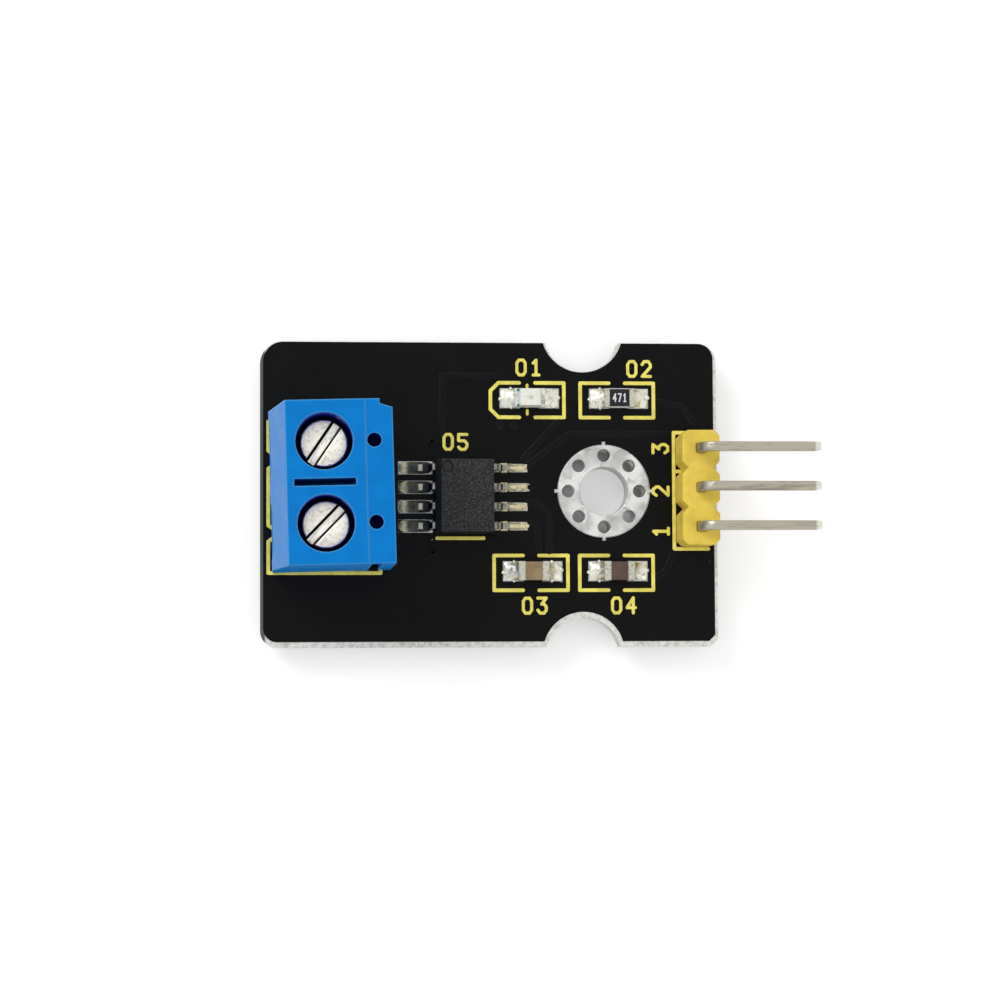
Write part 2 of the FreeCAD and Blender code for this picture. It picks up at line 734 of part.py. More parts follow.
def make_current_loop():
    """Copper path of the measured current: four leads and the loop that they share."""
    body = new_body("current_loop")
    sketch = new_sketch(body, PLANE_XY, FRAME_LOW)
    outer = "(chip_width / 2 - chip_draft - lead_gauge)"
    half = "(1.5 * chip_pitch + lead_width / 2)"
    waist = "(loop_slot / 2 + loop_turn)"
    draw_polygon(sketch, [
        (f"-{outer}", f"-{half}"), (f"-{outer} / 2", f"-{half}"), ("loop_reach", f"-{waist}"),
        ("loop_reach", waist), (f"-{outer} / 2", half), (f"-{outer}", half),
        (f"-{outer}", "loop_slot / 2"), ("loop_reach - loop_turn", "loop_slot / 2"),
        ("loop_reach - loop_turn", "-loop_slot / 2"), (f"-{outer}", "-loop_slot / 2"),
    ])
    pad(body, sketch, "lead_gauge")
    wing = gull_wing(body, -1, "chip_width / 2 - chip_draft - 2 * lead_gauge", "-1.5 * chip_pitch")
    row_of(body, [wing], "chip_pitch", "4")
    place(body, "chip_x", "chip_y", PAD_TOP)
    return keep(body, "current_loop")


def make_signal_lead(number):
    """One lead of the signal side, with its inner end gathered towards the die."""
    body = new_body(f"signal_lead_{number}")
    y = f"(chip_pitch * ({number} - 2.5))"
    inner = "(chip_width / 2 - chip_draft - lead_gauge)"
    sketch = new_sketch(body, PLANE_XY, FRAME_LOW)
    tip = "(die_offset + die_width / 4)"
    tip_y = f"{y} * lead_gather"
    draw_polygon(sketch, [
        (tip, f"{tip_y} - 1.3 * bump_radius"), (inner, f"{y} - lead_width / 2"),
        (inner, f"{y} + lead_width / 2"), (tip, f"{tip_y} + 1.3 * bump_radius"),
    ])
    pad(body, sketch, "lead_gauge")
    gull_wing(body, 1, f"{inner} - lead_gauge / 2", y)
    place(body, "chip_x", "chip_y", PAD_TOP)
    return keep(body, f"signal_lead_{number}")


def make_die_bumps():
    """Solder bumps that carry the die on the ends of the signal leads."""
    bumps = []
    for number in range(4):
        x = "chip_x + die_offset + die_width / 4 + 1.5 * bump_radius"
        y = f"chip_y + chip_pitch * ({number} - 1.5) * lead_gather"
        level = f"{PAD_TOP} + {FRAME_TOP}"
        bumps.append(octagon("bump", "2 * bump_radius", "bump_height", (x, y), level))
    return keep(gather("die_bumps", bumps), "die_bumps")


def make_hall_die():
    """Silicon die above the turn of the current loop."""
    centre = ("chip_x + die_offset", "chip_y")
    level = f"{PAD_TOP} + {FRAME_TOP} + bump_height"
    die = middle_block("hall_die", ("die_width", "die_length", "die_height"), centre, level)
    return keep(die, "hall_die")


def make_sensor_body(held):
    """Epoxy moulding round the lead frame and the die, with drafted sides."""
    centre = ("chip_x", "chip_y")
    seam = f"{PAD_TOP} + lead_level"
    above = ("chip_width", "chip_length", "chip_standoff + chip_height - lead_level")
    below = ("chip_width", "chip_length", "lead_level - chip_standoff")
    upper = frustum("upper_half", above, "chip_draft", centre, seam)
    lower = frustum("lower_half", below, "chip_draft", centre, seam, True)
    blank = fuse("moulding_blank", [upper, lower])
    bevel = new_body("bevel_tool")
    sketch = new_sketch(bevel, PLANE_XZ)
    top = "(chip_standoff + chip_height)"
    foot = f"{top} - chip_bevel * 2 / 3"
    side = "(-chip_width / 2)"
    crest = f"{side} + chip_draft + chip_bevel"
    draw_polygon(sketch, [
        (f"{side} - chip_bevel", f"{top} + chip_bevel"), (f"{side} - chip_bevel", foot), (side, foot),
        (crest, top), (crest, f"{top} + chip_bevel"),
    ])
    pad(bevel, sketch, "chip_length * 2", symmetric=True)
    place(bevel, "chip_x", "chip_y", PAD_TOP)
    mark = rod("dimple_tool", "dimple_radius", "2 * dimple_depth",
               ("chip_x - chip_width / 2 + dimple_inset_x", "chip_y + chip_length / 2 - dimple_inset_y"),
               f"{PAD_TOP} + {top} - dimple_depth")
    shaped = cut("moulding_shaped", blank, gather("moulding_tools", [bevel, mark]))
    return keep(cut("sensor_body", shaped, gather("moulded_in", held)), "sensor_body")


# The lamp, the resistor and the capacitors

def component_block(name, x, y, height, base, wall):
    """Inner block of a small component, inside its metal ends."""
    size = ("part_length - 2 * cap_wall", f"part_width - 2 * {wall}", f"{height} - 2 * cap_wall")
    return middle_block(name, size, (x, y), f"{base} + cap_wall")


def metal_ends(name, x, y, height, length, body):
    """Metal ends wrapped round a small component's block."""
    ends = []
    for side in (-1, 1):
        centre = (f"{x} + {side} * (part_length - {length}) / 2", y)
        ends.append(middle_block(name + "_blank", (length, "part_width", height), centre, PAD_TOP))
    return keep(cut(name, gather(name + "_pair", ends), body), name)


def make_lamp():
    """Indicator lamp: substrate with metal ends, die and cast lens."""
    at = ("lamp_x", "back_row_y")
    base = component_block("led_base", *at, "lamp_base", PAD_TOP, "0")
    keep(base, "led_base")
    metal_ends("led_terminals", *at, "lamp_base", "cap_length", base)
    level = f"{PAD_TOP} + lamp_base - cap_wall"
    die = middle_block("led_die", ("lamp_die", "lamp_die", "lamp_die_height"), at, level)
    keep(die, "led_die")
    foot = middle_block("lens_foot", ("part_length - 2 * cap_length", "part_width", "cap_wall"), at, level)
    size = ("lens_length", "part_width", "lens_height")
    top = frustum("lens_top", size, "lens_draft", at, f"{PAD_TOP} + lamp_base")
    keep(cut("led_lens", fuse("lens_blank", [foot, top]), die), "led_lens")


def make_resistor():
    """Ceramic chip with wrapped metal ends and a black glass coat."""
    at = ("resistor_x", "back_row_y")
    base = component_block("resistor_base", *at, "resistor_height", PAD_TOP, "0")
    keep(base, "resistor_base")
    ends = metal_ends("resistor_ends", *at, "resistor_height", "cap_length", base)
    size = ("coat_length", "coat_width", "cap_wall + coat_height")
    coat = middle_block("coat_blank", size, at, f"{PAD_TOP} + resistor_height - cap_wall")
    keep(cut("resistor_coat", coat, ends), "resistor_coat")


def make_capacitor(number, x):
    """Layered ceramic block with a metal cap on each end."""
    at = (x, "front_row_y")
    body = component_block(f"capacitor_{number}_body", *at, "capacitor_height", PAD_TOP, "cap_wall")
    keep(body, f"capacitor_{number}_body")
    metal_ends(f"capacitor_{number}_ends", *at, "capacitor_height", "capacitor_cap", body)


# The pin header

def make_header_body():
    """Row of moulded segments, each with its corners cut off and a square hole for its pin."""
    body = new_body("header_body")
    side = "(header_width / 2)"
    end = "(header_pitch / 2)"
    segment = new_sketch(body, PLANE_XY, "0")
    first = "(-header_pitch * (header_count - 1) / 2)"
    draw_polygon(segment, [
        (f"-{side}", f"{first} - {end} + header_notch"), (f"-{side} + header_notch", f"{first} - {end}"),
        (f"{side} - header_notch", f"{first} - {end}"), (side, f"{first} - {end} + header_notch"),
        (side, f"{first} + {end} - header_notch"), (f"{side} - header_notch", f"{first} + {end}"),
        (f"-{side} + header_notch", f"{first} + {end}"), (f"-{side}", f"{first} + {end} - header_notch"),
    ])
    solid = pad(body, segment, "header_height")
    opening = new_sketch(body, PLANE_XY, "header_height")
    half = "pin_size / 2"
    draw_rectangle(opening, (f"-{half}", f"{first} - {half}"), (half, f"{first} + {half}"))
    hole = pocket(body, opening, "header_height")
    row_of(body, [solid, hole], "header_pitch", "header_count")
    last = "(header_pitch * header_count / 2)"
    ends = new_sketch(body, PLANE_XY, "header_height")
    draw_rectangle(ends, (f"-{side}", f"-{last}"), (side, f"-{last} + header_trim"))
    draw_rectangle(ends, (f"-{side}", f"{last} - header_trim"), (side, last))
    pocket(body, ends, "header_height")
    place(body, "header_x", "header_y", PAD_TOP)
    return keep(body, "header_body")


def make_header_pin(number):
    """Square wire bent through a right angle, with tapered tip."""
    body = new_body(f"header_pin_{number + 1}")
    half = "(pin_size / 2)"
    level = "(board_thickness + pin_level)"
    sketch = new_sketch(body, PLANE_XZ, "0")
    draw_polygon(sketch, [
        (f"-{half}", "-pin_tail"), (half, "-pin_tail"), (half, f"{level} - {half}"),
        ("pin_reach", f"{level} - {half}"), ("pin_reach", f"{level} + {half}"),
        (f"-{half}", f"{level} + {half}"),
    ])
    wire = pad(body, sketch, "pin_size", symmetric=True)
    size = amount(half)
    top = amount(level)
    for side, radius in ((1, "pin_bend"), (-1, "pin_bend + pin_size")):
        wire = round_edges(body, wire, edges_where(wire, across_at(side * size, top - side * size)), radius)
    taper_wire(body)
    place(body, "header_x", header_pin_y(number), "0")
    return keep(body, f"header_pin_{number + 1}")


def taper_wire(body):
    """Cut the four slopes of a pin's tip."""
    half = "(pin_size / 2)"
    level = "(board_thickness + pin_level)"
    start = "(pin_reach - pin_point)"
    beyond = "(pin_reach + pin_point)"
    for plane, middle in ((PLANE_XZ, level), (PLANE_XY, "0")):
        for side in (-1, 1):
            sketch = new_sketch(body, plane, "0")
            draw_polygon(sketch, [
                (start, f"{middle} + {side} * {half}"),
                (beyond, f"{middle} + {side} * ({half} - 2 * pin_blunt)"),
                (beyond, f"{middle} + {side} * pin_size"),
                (start, f"{middle} + {side} * pin_size"),
            ])
            reach = "2 * pin_size" if plane == PLANE_XZ else f"4 * {level}"
            pocket(body, sketch, reach, symmetric=True)


# The screw terminal

def make_terminal_housing():
    """Moulded housing with screw wells, wire entries, pockets for the cages, a recess and a groove."""
    body = new_body("terminal_housing")
    front = "(-terminal_front)"
    rear = "terminal_rear"
    half = "(terminal_width / 2)"
    plan = new_sketch(body, PLANE_XY, "0")
    draw_polygon(plan, [
        (front, f"-{half}"), (rear, f"-{half}"),
        (rear, f"{half} - dovetail_depth - dovetail_slant"), ("dovetail_start", f"{half} - dovetail_depth"),
        ("dovetail_start", half), (front, half),
    ])
    pad(body, plan, "terminal_height")
    slope = new_sketch(body, PLANE_XZ, "0")
    draw_polygon(slope, [
        (front, "bevel_start"), (f"{front} + bevel_run", "terminal_height"),
        (f"{front} + bevel_run", "terminal_height + bevel_run"),
        (f"{front} - bevel_run", "terminal_height + bevel_run"), (f"{front} - bevel_run", "bevel_start"),
    ])
    pocket(body, slope, "2 * terminal_width", symmetric=True)
    groove = new_sketch(body, PLANE_XY, "terminal_height - groove_stop")
    draw_rectangle(groove, ("dovetail_start - groove_width", f"-{half} - groove_depth"),
                   ("dovetail_start", f"-{half} + groove_depth"))
    pocket(body, groove, "terminal_height")
    step = new_sketch(body, PLANE_XY, "terminal_height")
    draw_rectangle(step, ("step_setback", "-terminal_width"), (f"{rear} + 1", "terminal_width"))
    pocket(body, step, "step_depth")
    openings = new_sketch(body, PLANE_XY, "terminal_height")
    draw_rectangle(openings, ("-slit_length / 2", "-slit_width / 2"), ("slit_length / 2", "slit_width / 2"))
    pocket(body, openings, "slit_depth")
    for side in (FRONT, BACK):
        open_pole(body, f"({side} * terminal_pitch / 2)")
    place_in_terminal(body)
    return keep(body, "terminal_housing")


def open_pole(body, y):
    """Well, cage pocket, wire entry with its funnel, and probe hole of one pole."""
    cage_roof = "(cage_sill + cage_height)"
    well = new_sketch(body, PLANE_XY, "terminal_height")
    draw_circle(well, "0", y, "well_diameter / 2")
    pocket(body, well, f"terminal_height - {cage_roof}")
    probe = new_sketch(body, PLANE_XY, "terminal_height")
    draw_circle(probe, "probe_setback", y, "probe_hole / 2")
    pocket(body, probe, "probe_depth")
    cage = new_sketch(body, PLANE_XY, "0")
    half = "(cage_width / 2 + cage_play)"
    draw_rectangle(cage, ("-cage_front - cage_play", f"{y} - {half}"),
                   ("cage_rear + cage_play", f"{y} + {half}"))
    pocket(body, cage, f"{cage_roof} + cage_play", upward=True)
    entry = new_sketch(body, PLANE_YZ, "-cage_front")
    draw_rectangle(entry, (f"{y} - entry_width / 2", "entry_sill"),
                   (f"{y} + entry_width / 2", "entry_sill + entry_height"))
    pocket(body, entry, "2 * (terminal_front - cage_front)")
    funnel_in(body, y)


def funnel_in(body, y):
    """Bevel all round the mouth of a wire entry."""
    for plane in (PLANE_XZ, PLANE_XY):
        if plane == PLANE_XZ:
            low, high, across, level = "entry_sill", "(entry_sill + entry_height)", "entry_width", f"-{y}"
        else:
            low, high = f"({y} - entry_width / 2)", f"({y} + entry_width / 2)"
            across, level = "entry_height", "entry_sill + entry_height / 2"
        sketch = new_sketch(body, plane, level)
        mouth = "-terminal_front"
        draw_polygon(sketch, [
            (mouth, f"{low} - funnel"), (f"{mouth} + funnel", low), (f"{mouth} + funnel", high),
            (mouth, f"{high} + funnel"), (f"{mouth} - funnel", f"{high} + funnel"),
            (f"{mouth} - funnel", f"{low} - funnel"),
        ])
        pocket(body, sketch, across, symmetric=True)


def make_terminal_cage(number, side):
    """Brass cage: a tube bent from strip, with a thick threaded top and a solder tail."""
    body = new_body(f"terminal_cage_{number}")
    half = "(cage_width / 2)"
    roof = "(cage_sill + cage_height)"
    outside = new_sketch(body, PLANE_YZ, "-cage_front")
    draw_rectangle(outside, (f"-{half}", "cage_sill"), (half, roof))
    tube = pad(body, outside, "cage_front + cage_rear")
    reach = amount(half)
    corners = edges_where(tube, lambda edge: near(abs(edge.CenterOfMass.y), reach) and is_along_x(edge))
    round_edges(body, tube, corners, "cage_corner")
    inside = new_sketch(body, PLANE_YZ, "cage_rear")
    draw_rectangle(inside, (f"-{half} + cage_wall", "cage_sill + cage_wall"),
                   (f"{half} - cage_wall", f"{roof} - cage_top"))
    pocket(body, inside, "cage_front + cage_rear")
    hole = new_sketch(body, PLANE_XY, roof)
    draw_circle(hole, "0", "0", "screw_thread / 2 + thread_play")
    pocket(body, hole, "cage_top")
    tail = new_sketch(body, PLANE_XY, f"-{MASK_TOP} - pin_tail")
    draw_rectangle(tail, ("-tail_gauge / 2", "-tail_width / 2"), ("tail_gauge / 2", "tail_width / 2"))
    pad(body, tail, f"{MASK_TOP} + pin_tail + cage_sill + cage_wall / 2")
    place_in_terminal(body, side)
    return keep(body, f"terminal_cage_{number}")


def is_along_x(edge):
    """Whether an edge is parallel to X."""
    start, end = [vertex.Point for vertex in edge.Vertexes]
    return near(start.y, end.y) and near(start.z, end.z)


HEAD_TOP = "(terminal_height - head_drop)"
GUARD_TOP = "(guard_level + guard_gauge)"
SCREW_TIP = f"({GUARD_TOP} + guard_gap)"


def make_terminal_screw(number, side, angle):
    """Slotted screw, turned about its own axis to the angle of its slot."""
    body = new_body(f"terminal_screw_{number}")
    head = "(head_diameter / 2)"
    shank = "(screw_thread / 2)"
    under = f"({HEAD_TOP} - head_height)"
    profile = new_sketch(body, PLANE_XZ, "0")
    draw_polygon(profile, [
        ("0", SCREW_TIP), (f"{shank} - tip_chamfer", SCREW_TIP), (shank, f"{SCREW_TIP} + tip_chamfer"),
        (shank, under), (head, under), (head, f"{HEAD_TOP} - head_chamfer"),
        (f"{head} - head_chamfer", HEAD_TOP), ("0", HEAD_TOP),
    ])
    revolve(body, profile)
    slot = new_sketch(body, PLANE_XY, HEAD_TOP)
    draw_rectangle(slot, ("-head_diameter", "-slot_width / 2"), ("head_diameter", "slot_width / 2"))
    pocket(body, slot, "slot_depth")
    place_in_terminal(body, side, turn=angle)
    return keep(body, f"terminal_screw_{number}")


def make_wire_guard(number, side):
    """Spring leaf between screw tip and wire, with an upturned lip at the wire's side."""
    body = new_body(f"wire_guard_{number}")
    front = "(-cage_front - guard_front)"
    rear = "(cage_rear - guard_rear)"
    sketch = new_sketch(body, PLANE_XZ, "0")
    draw_polygon(sketch, [
        (front, "guard_level"), (rear, "guard_level"), (rear, GUARD_TOP),
        (f"{front} + guard_gauge", GUARD_TOP), (f"{front} + guard_gauge", "guard_level + guard_lip"),
        (front, "guard_level + guard_lip"),
    ])
    leaf = pad(body, sketch, "guard_width", symmetric=True)
    bend = edges_where(leaf, across_at(amount(front), amount("guard_level")))
    round_edges(body, leaf, bend, "guard_gauge * 0.9")
    place_in_terminal(body, side)
    return keep(body, f"wire_guard_{number}")


# The solder

def hollow_wedge(heel, toe, sides, heights):
    """Concave ramp of solder along X between two ends of different height and width."""
    sections = []
    for share, height in zip((0.0, 0.35, 1.0), heights):
        x = heel.x + share * (toe.x - heel.x)
        half = sides[0] + share * (sides[1] - sides[0])
        corners = [Vector(x, heel.y - half, heel.z), Vector(x, heel.y + half, heel.z),
                   Vector(x, heel.y + half * 0.7, heel.z + height),
                   Vector(x, heel.y - half * 0.7, heel.z + height)]
        sections.append(Part.makePolygon(corners + corners[:1]))
    return Part.makeLoft(sections, True, True)


def make_component_solder():
    """Fillets from the pads up the ends of the small components."""
    fillets = []
    low = amount("copper")
    for x, y in component_places():
        for side in (-1, 1):
            heel = Vector(amount(f"{x} + {side} * part_length / 2"), amount(y), amount(PAD_TOP))
            toe = Vector(amount(f"{x} + {side} * (land_span / 2 - 2 * mask_gap)"), heel.y, heel.z)
            rise = amount("solder_rise")
            if (x, y) == ("lamp_x", "back_row_y"):
                rise = amount("lamp_base - cap_wall")
            sides = (amount("solder_width / 2"), amount("solder_width / 2 * 0.9"))
            fillets.append(hollow_wedge(heel, toe, sides, (rise, rise / 2, low)))
    return keep_shape("component_solder", fillets)


def make_chip_solder():
    """Fillets in front of the toes of the chip's leads."""
    fillets = []
    for y in chip_rows():
        for side, reach, width in ((-1, HEAVY_REACH, "heavy_pad_width"),
                                   (1, SIGNAL_REACH, "signal_pad_width")):
            heel = Vector(amount(f"chip_x + {side} * lead_span / 2"), amount(y), amount(PAD_TOP))
            toe = Vector(amount(f"chip_x + {side} * ({reach} - mask_gap)"), heel.y, heel.z)
            half = amount(f"{width} / 2")
            sides = (half * 0.9, half * 0.55)
            rise = amount("lead_gauge")
            fillets.append(hollow_wedge(heel, toe, sides, (rise, rise * 0.8, rise * 0.3)))
    return keep_shape("chip_solder", fillets)


def keep_shape(name, solids):
    """Sub-part whose solids follow no plain primitive."""
    piece = document.addObject("Part::Feature", name)
    piece.Shape = Part.makeCompound(solids)
    return keep(piece, name)


def solder_joint(name, x, y, land, tail, tail_radius):
    """Solder cone from a land to the tail that stands out below the board."""
    shape = cone(name + "_cone", f"{tail_radius} + joint_neck", f"{land} / 2 - mask_gap", "joint_cone",
                 (x, y), "-copper - joint_cone")
    return cut(name, shape, tail)


def make_pin_solder(pins, cages):
    """Solder round the tails of the header and of the terminal."""
    header = [solder_joint("header_joint", "header_x", header_pin_y(number), "header_land", pin,
                           "pin_size * 0.7") for number, pin in enumerate(pins)]
    keep(gather("header_solder", header), "header_solder")
    terminal = [solder_joint("terminal_joint", "terminal_x", terminal_hole_y(side), "terminal_land", cage,
                             "tail_width * 0.65") for side, cage in zip((BACK, FRONT), cages)]
    keep(gather("terminal_solder", terminal), "terminal_solder")


def make_model():
    """Build every sub-part."""
    make_circuit_board()
    solder_mask("solder_mask_top", "board_thickness", True)
    solder_mask("solder_mask_bottom", "-mask", False)
    make_mounting_ring()
    make_chip_pads()
    make_component_pads()
    make_header_pads()
    make_terminal_pads()
    frame = [make_current_loop()]
    for number in range(1, 5):
        frame.append(make_signal_lead(number))
    make_sensor_body(frame + [make_die_bumps(), make_hall_die()])
    make_lamp()
    make_resistor()
    make_capacitor(1, "capacitor_right_x")
    make_capacitor(2, "capacitor_left_x")
    make_header_body()
    pins = [make_header_pin(number) for number in range(int(amount("header_count")))]
    make_terminal_housing()
    cages = [make_terminal_cage(1, BACK), make_terminal_cage(2, FRONT)]
    make_terminal_screw(1, BACK, "slot_angle_back")
    make_terminal_screw(2, FRONT, "slot_angle_front")
    make_wire_guard(1, BACK)
    make_wire_guard(2, FRONT)
    make_component_solder()
    make_chip_solder()
    make_pin_solder(pins, cages)


def check_model():
    """Stop if an object failed or a sub-part has no sound shape."""
    failed = [piece.Label for piece in document.Objects if {"Invalid", "Error"} & set(piece.State)]
    if failed:
        raise RuntimeError("failed objects: " + ", ".join(failed))
    unsound = [piece.Label for piece in nodes if piece.Shape.isNull() or not piece.Shape.isValid()]
    if unsound:
        raise RuntimeError("unsound shapes: " + ", ".join(unsound))


def write_parts():
    """Write each sub-part to its own file."""
    os.makedirs("parts", exist_ok=True)
    for piece in nodes:
        piece.Shape.exportStep(f"parts/{piece.Label}.step")


fill_sheet()
make_model()
document.recompute()
check_model()
write_parts()
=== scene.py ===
import bmesh
import bpy
import math
from mathutils import Matrix, Vector, noise


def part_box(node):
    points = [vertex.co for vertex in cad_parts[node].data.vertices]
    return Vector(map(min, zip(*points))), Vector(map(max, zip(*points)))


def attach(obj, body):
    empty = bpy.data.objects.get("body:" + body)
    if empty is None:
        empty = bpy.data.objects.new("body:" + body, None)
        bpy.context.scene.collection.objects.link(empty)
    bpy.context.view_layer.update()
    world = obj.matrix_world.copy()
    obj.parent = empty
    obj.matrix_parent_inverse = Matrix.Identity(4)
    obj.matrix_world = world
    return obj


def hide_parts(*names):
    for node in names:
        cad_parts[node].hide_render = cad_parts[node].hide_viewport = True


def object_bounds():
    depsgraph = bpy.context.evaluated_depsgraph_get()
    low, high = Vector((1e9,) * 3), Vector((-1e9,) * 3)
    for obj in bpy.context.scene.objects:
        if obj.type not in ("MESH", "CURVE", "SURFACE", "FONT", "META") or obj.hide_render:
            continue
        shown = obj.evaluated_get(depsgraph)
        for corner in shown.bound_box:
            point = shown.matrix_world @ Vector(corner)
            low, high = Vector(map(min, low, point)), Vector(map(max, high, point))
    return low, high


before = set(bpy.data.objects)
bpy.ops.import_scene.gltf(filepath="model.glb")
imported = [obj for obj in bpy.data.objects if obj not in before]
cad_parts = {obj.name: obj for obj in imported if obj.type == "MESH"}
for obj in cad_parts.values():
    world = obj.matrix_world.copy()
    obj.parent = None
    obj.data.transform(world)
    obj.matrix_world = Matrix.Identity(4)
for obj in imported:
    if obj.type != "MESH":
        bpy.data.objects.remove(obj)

bl_info = {
    "name": "Hall effect current sensor",
    "version": (1, 0, 0),
    "blender": (4, 5, 0),
    "location": "3D View > Sidebar > Sensor",
    "description": "Finishes, printed marks, solder and screws of a small current sensor board",
    "category": "Object",
}

# Sizes in this file are in millimetres, and MM turns them into metres.
MM = 0.001
CAD_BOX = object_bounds()


def node_box(node):
    """Lowest and highest corner of a CAD node, in millimetres."""
    return [Vector(corner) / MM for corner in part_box(node)]


def middle(node):
    """Centre of a CAD node's box, in millimetres."""
    low, high = node_box(node)
    return (low + high) / 2


MASK_TOP = node_box("solder_mask_top")[1].z
MASK_UNDERSIDE = node_box("solder_mask_bottom")[0].z
PAD_TOP = node_box("chip_pads")[1].z
PAD_UNDERSIDE = node_box("header_pads")[0].z
FLOOR_LEVEL = CAD_BOX[0][2] / MM
CHIP = middle("sensor_body")
LAMP = middle("led_base")
RESISTOR = middle("resistor_base")
CAPACITORS = [middle("capacitor_1_body"), middle("capacitor_2_body")]
HEADER_LOW = node_box("header_body")[0]


# Values that a user would change

def linear(share):
    """Linear strength of one channel from the strength that a screen shows, both 0 to 1."""
    if share <= 0.04045:
        return share / 12.92
    return ((share + 0.055) / 1.055) ** 2.4


def display_colour(red, green, blue):
    """Linear colour from the three numbers that a screen shows, 0 to 255."""
    return tuple(linear(channel / 255) for channel in (red, green, blue))


def colour_value(name, text, *channels):
    """Colour property with its default as a screen shows it."""
    return bpy.props.FloatVectorProperty(name=name, description=text, subtype="COLOR", size=3, min=0, max=1,
                                         default=display_colour(*channels))


def length_value(name, text, millimetres):
    """Length property with its default in millimetres."""
    return bpy.props.FloatProperty(name=name, description=text, unit="LENGTH", min=0, precision=6,
                                   default=millimetres * MM)


class BoardLooks(bpy.types.PropertyGroup):
    """Sizes and colours of the bare board and its print."""

    mask: colour_value("Solder mask", "Black skin of the board", 12, 12, 13)
    covered: colour_value("Covered copper", "Mask where copper lies under it", 13, 13, 14)
    laminate: colour_value("Laminate", "Sawn edge of the glass fibre board", 238, 238, 230)
    tin: colour_value("Tin", "Levelled tin on the copper", 226, 226, 224)
    ink: colour_value("Ink", "Printed frames and numbers", 246, 232, 112)
    ink_width: length_value("Ink width", "Width of a printed line", 0.24)
    ink_height: length_value("Ink height", "Thickness of the ink", 0.022)
    digit_height: length_value("Digit height", "Printed digit, between the middles of its lines", 0.98)
    track_width: length_value("Track width", "Copper track under the mask", 0.42)
    track_height: length_value("Track height", "Rise of the mask over a track", 0.014)


class PartLooks(bpy.types.PropertyGroup):
    """Colours of the chip, the lamp, the resistor, the capacitors and their solder."""

    epoxy: colour_value("Moulding", "Epoxy of the sensor chip", 28, 28, 28)
    filler: colour_value("Filler", "Pale grains in the epoxy", 104, 104, 104)
    leads: colour_value("Leads", "Matt tin on the chip's leads", 176, 173, 158)
    solder: colour_value("Solder", "Bright solder", 222, 220, 206)
    lead_solder: colour_value("Lead solder", "Duller solder at the chip's leads", 204, 195, 160)
    flux: colour_value("Flux", "Thin stain left on the solder", 84, 82, 76)
    ends: colour_value("Metal ends", "Tin on the ends of resistor and capacitors", 196, 194, 180)
    substrate: colour_value("Lamp base", "White base of the lamp", 224, 220, 204)
    resin: colour_value("Lamp resin", "Milky resin of the lamp", 250, 249, 230)
    lamp_mark: colour_value("Lamp mark", "Green mark at the lamp's cathode", 32, 150, 118)
    alumina: colour_value("Alumina", "White body of the resistor", 232, 232, 228)
    glass: colour_value("Glass coat", "Black coat of the resistor", 22, 23, 27)
    tan: colour_value("Tan ceramic", "Left capacitor", 152, 130, 98)
    brown: colour_value("Brown ceramic", "Right capacitor", 94, 74, 66)
    code_height: length_value("Code height", "Resistor's digits, between the middles of their lines", 0.5)


class ConnectorLooks(bpy.types.PropertyGroup):
    """Sizes and colours of the pin header and of the screw terminal."""

    yellow: colour_value("Header", "Yellow plastic of the header", 246, 214, 88)
    pins: colour_value("Pins", "Tinned brass pins", 176, 171, 155)
    blue: colour_value("Housing", "Blue plastic of the terminal", 2, 127, 211)
    # Painted highlight along the housing's edges
    highlight_blue: colour_value("Housing edges", "Light line on the housing's edges", 96, 180, 236)
    brass: colour_value("Cage", "Tinned brass of the cages", 196, 186, 156)
    zinc: colour_value("Screws", "Zinc-plated steel", 246, 242, 230)
    spring: colour_value("Wire guards", "Stainless spring strip", 176, 174, 168)
    thread_pitch: length_value("Thread pitch", "Advance of the screw in one turn", 0.45)
    thread_depth: length_value("Thread depth", "Depth of the screw's thread", 0.24)
    slot_width: length_value("Slot width", "Screwdriver slot", 0.74)
    slot_depth: length_value("Slot depth", "Screwdriver slot", 0.7)


class StudioLooks(bpy.types.PropertyGroup):
    """Camera and light."""

    lens: bpy.props.FloatProperty(name="Lens", description="Focal length on a 36 mm sensor", unit="CAMERA",
                                  default=78.273, min=1)
    shift_x: bpy.props.FloatProperty(name="Shift across", description="Shift of the frame across",
                                     default=0.0614)
    shift_y: bpy.props.FloatProperty(name="Shift up", description="Shift of the frame upwards",
                                     default=0.0597)
    key: bpy.props.FloatProperty(name="Key lamp", description="Power of the lamp at the upper left",
                                 unit="POWER", default=0.36, min=0)
    fill: bpy.props.FloatProperty(name="Fill lamp", description="Power of the lamp at the lower right",
                                  unit="POWER", default=0.1, min=0)
    ambient: bpy.props.FloatProperty(name="Ambient", description="Light of the room on the object",
                                     default=0.66, min=0)


LOOKS = {"sensor_board": BoardLooks, "sensor_parts": PartLooks, "sensor_connectors": ConnectorLooks,
         "sensor_studio": StudioLooks}


def board_looks():
    """Values of the board in this scene."""
    return bpy.context.scene.sensor_board


def part_looks():
    """Values of the chip and the small parts in this scene."""
    return bpy.context.scene.sensor_parts


def connector_looks():
    """Values of the header and the terminal in this scene."""
    return bpy.context.scene.sensor_connectors


def studio_looks():
    """Values of the camera and the light in this scene."""
    return bpy.context.scene.sensor_studio


# Node trees

def add_node(tree, kind, inputs=None, **settings):
    """Node with its settings; an input given as a socket is linked, any other is set."""
    node = tree.nodes.new(kind)
    for name, value in settings.items():
        setattr(node, name, value)
    for name, value in (inputs or {}).items():
        if isinstance(value, bpy.types.NodeSocket):
            tree.links.new(value, node.inputs[name])
        else:
            node.inputs[name].default_value = value
    return node


SOCKETS = {"colour": "NodeSocketColor", "value": "NodeSocketFloat", "vector": "NodeSocketVector"}


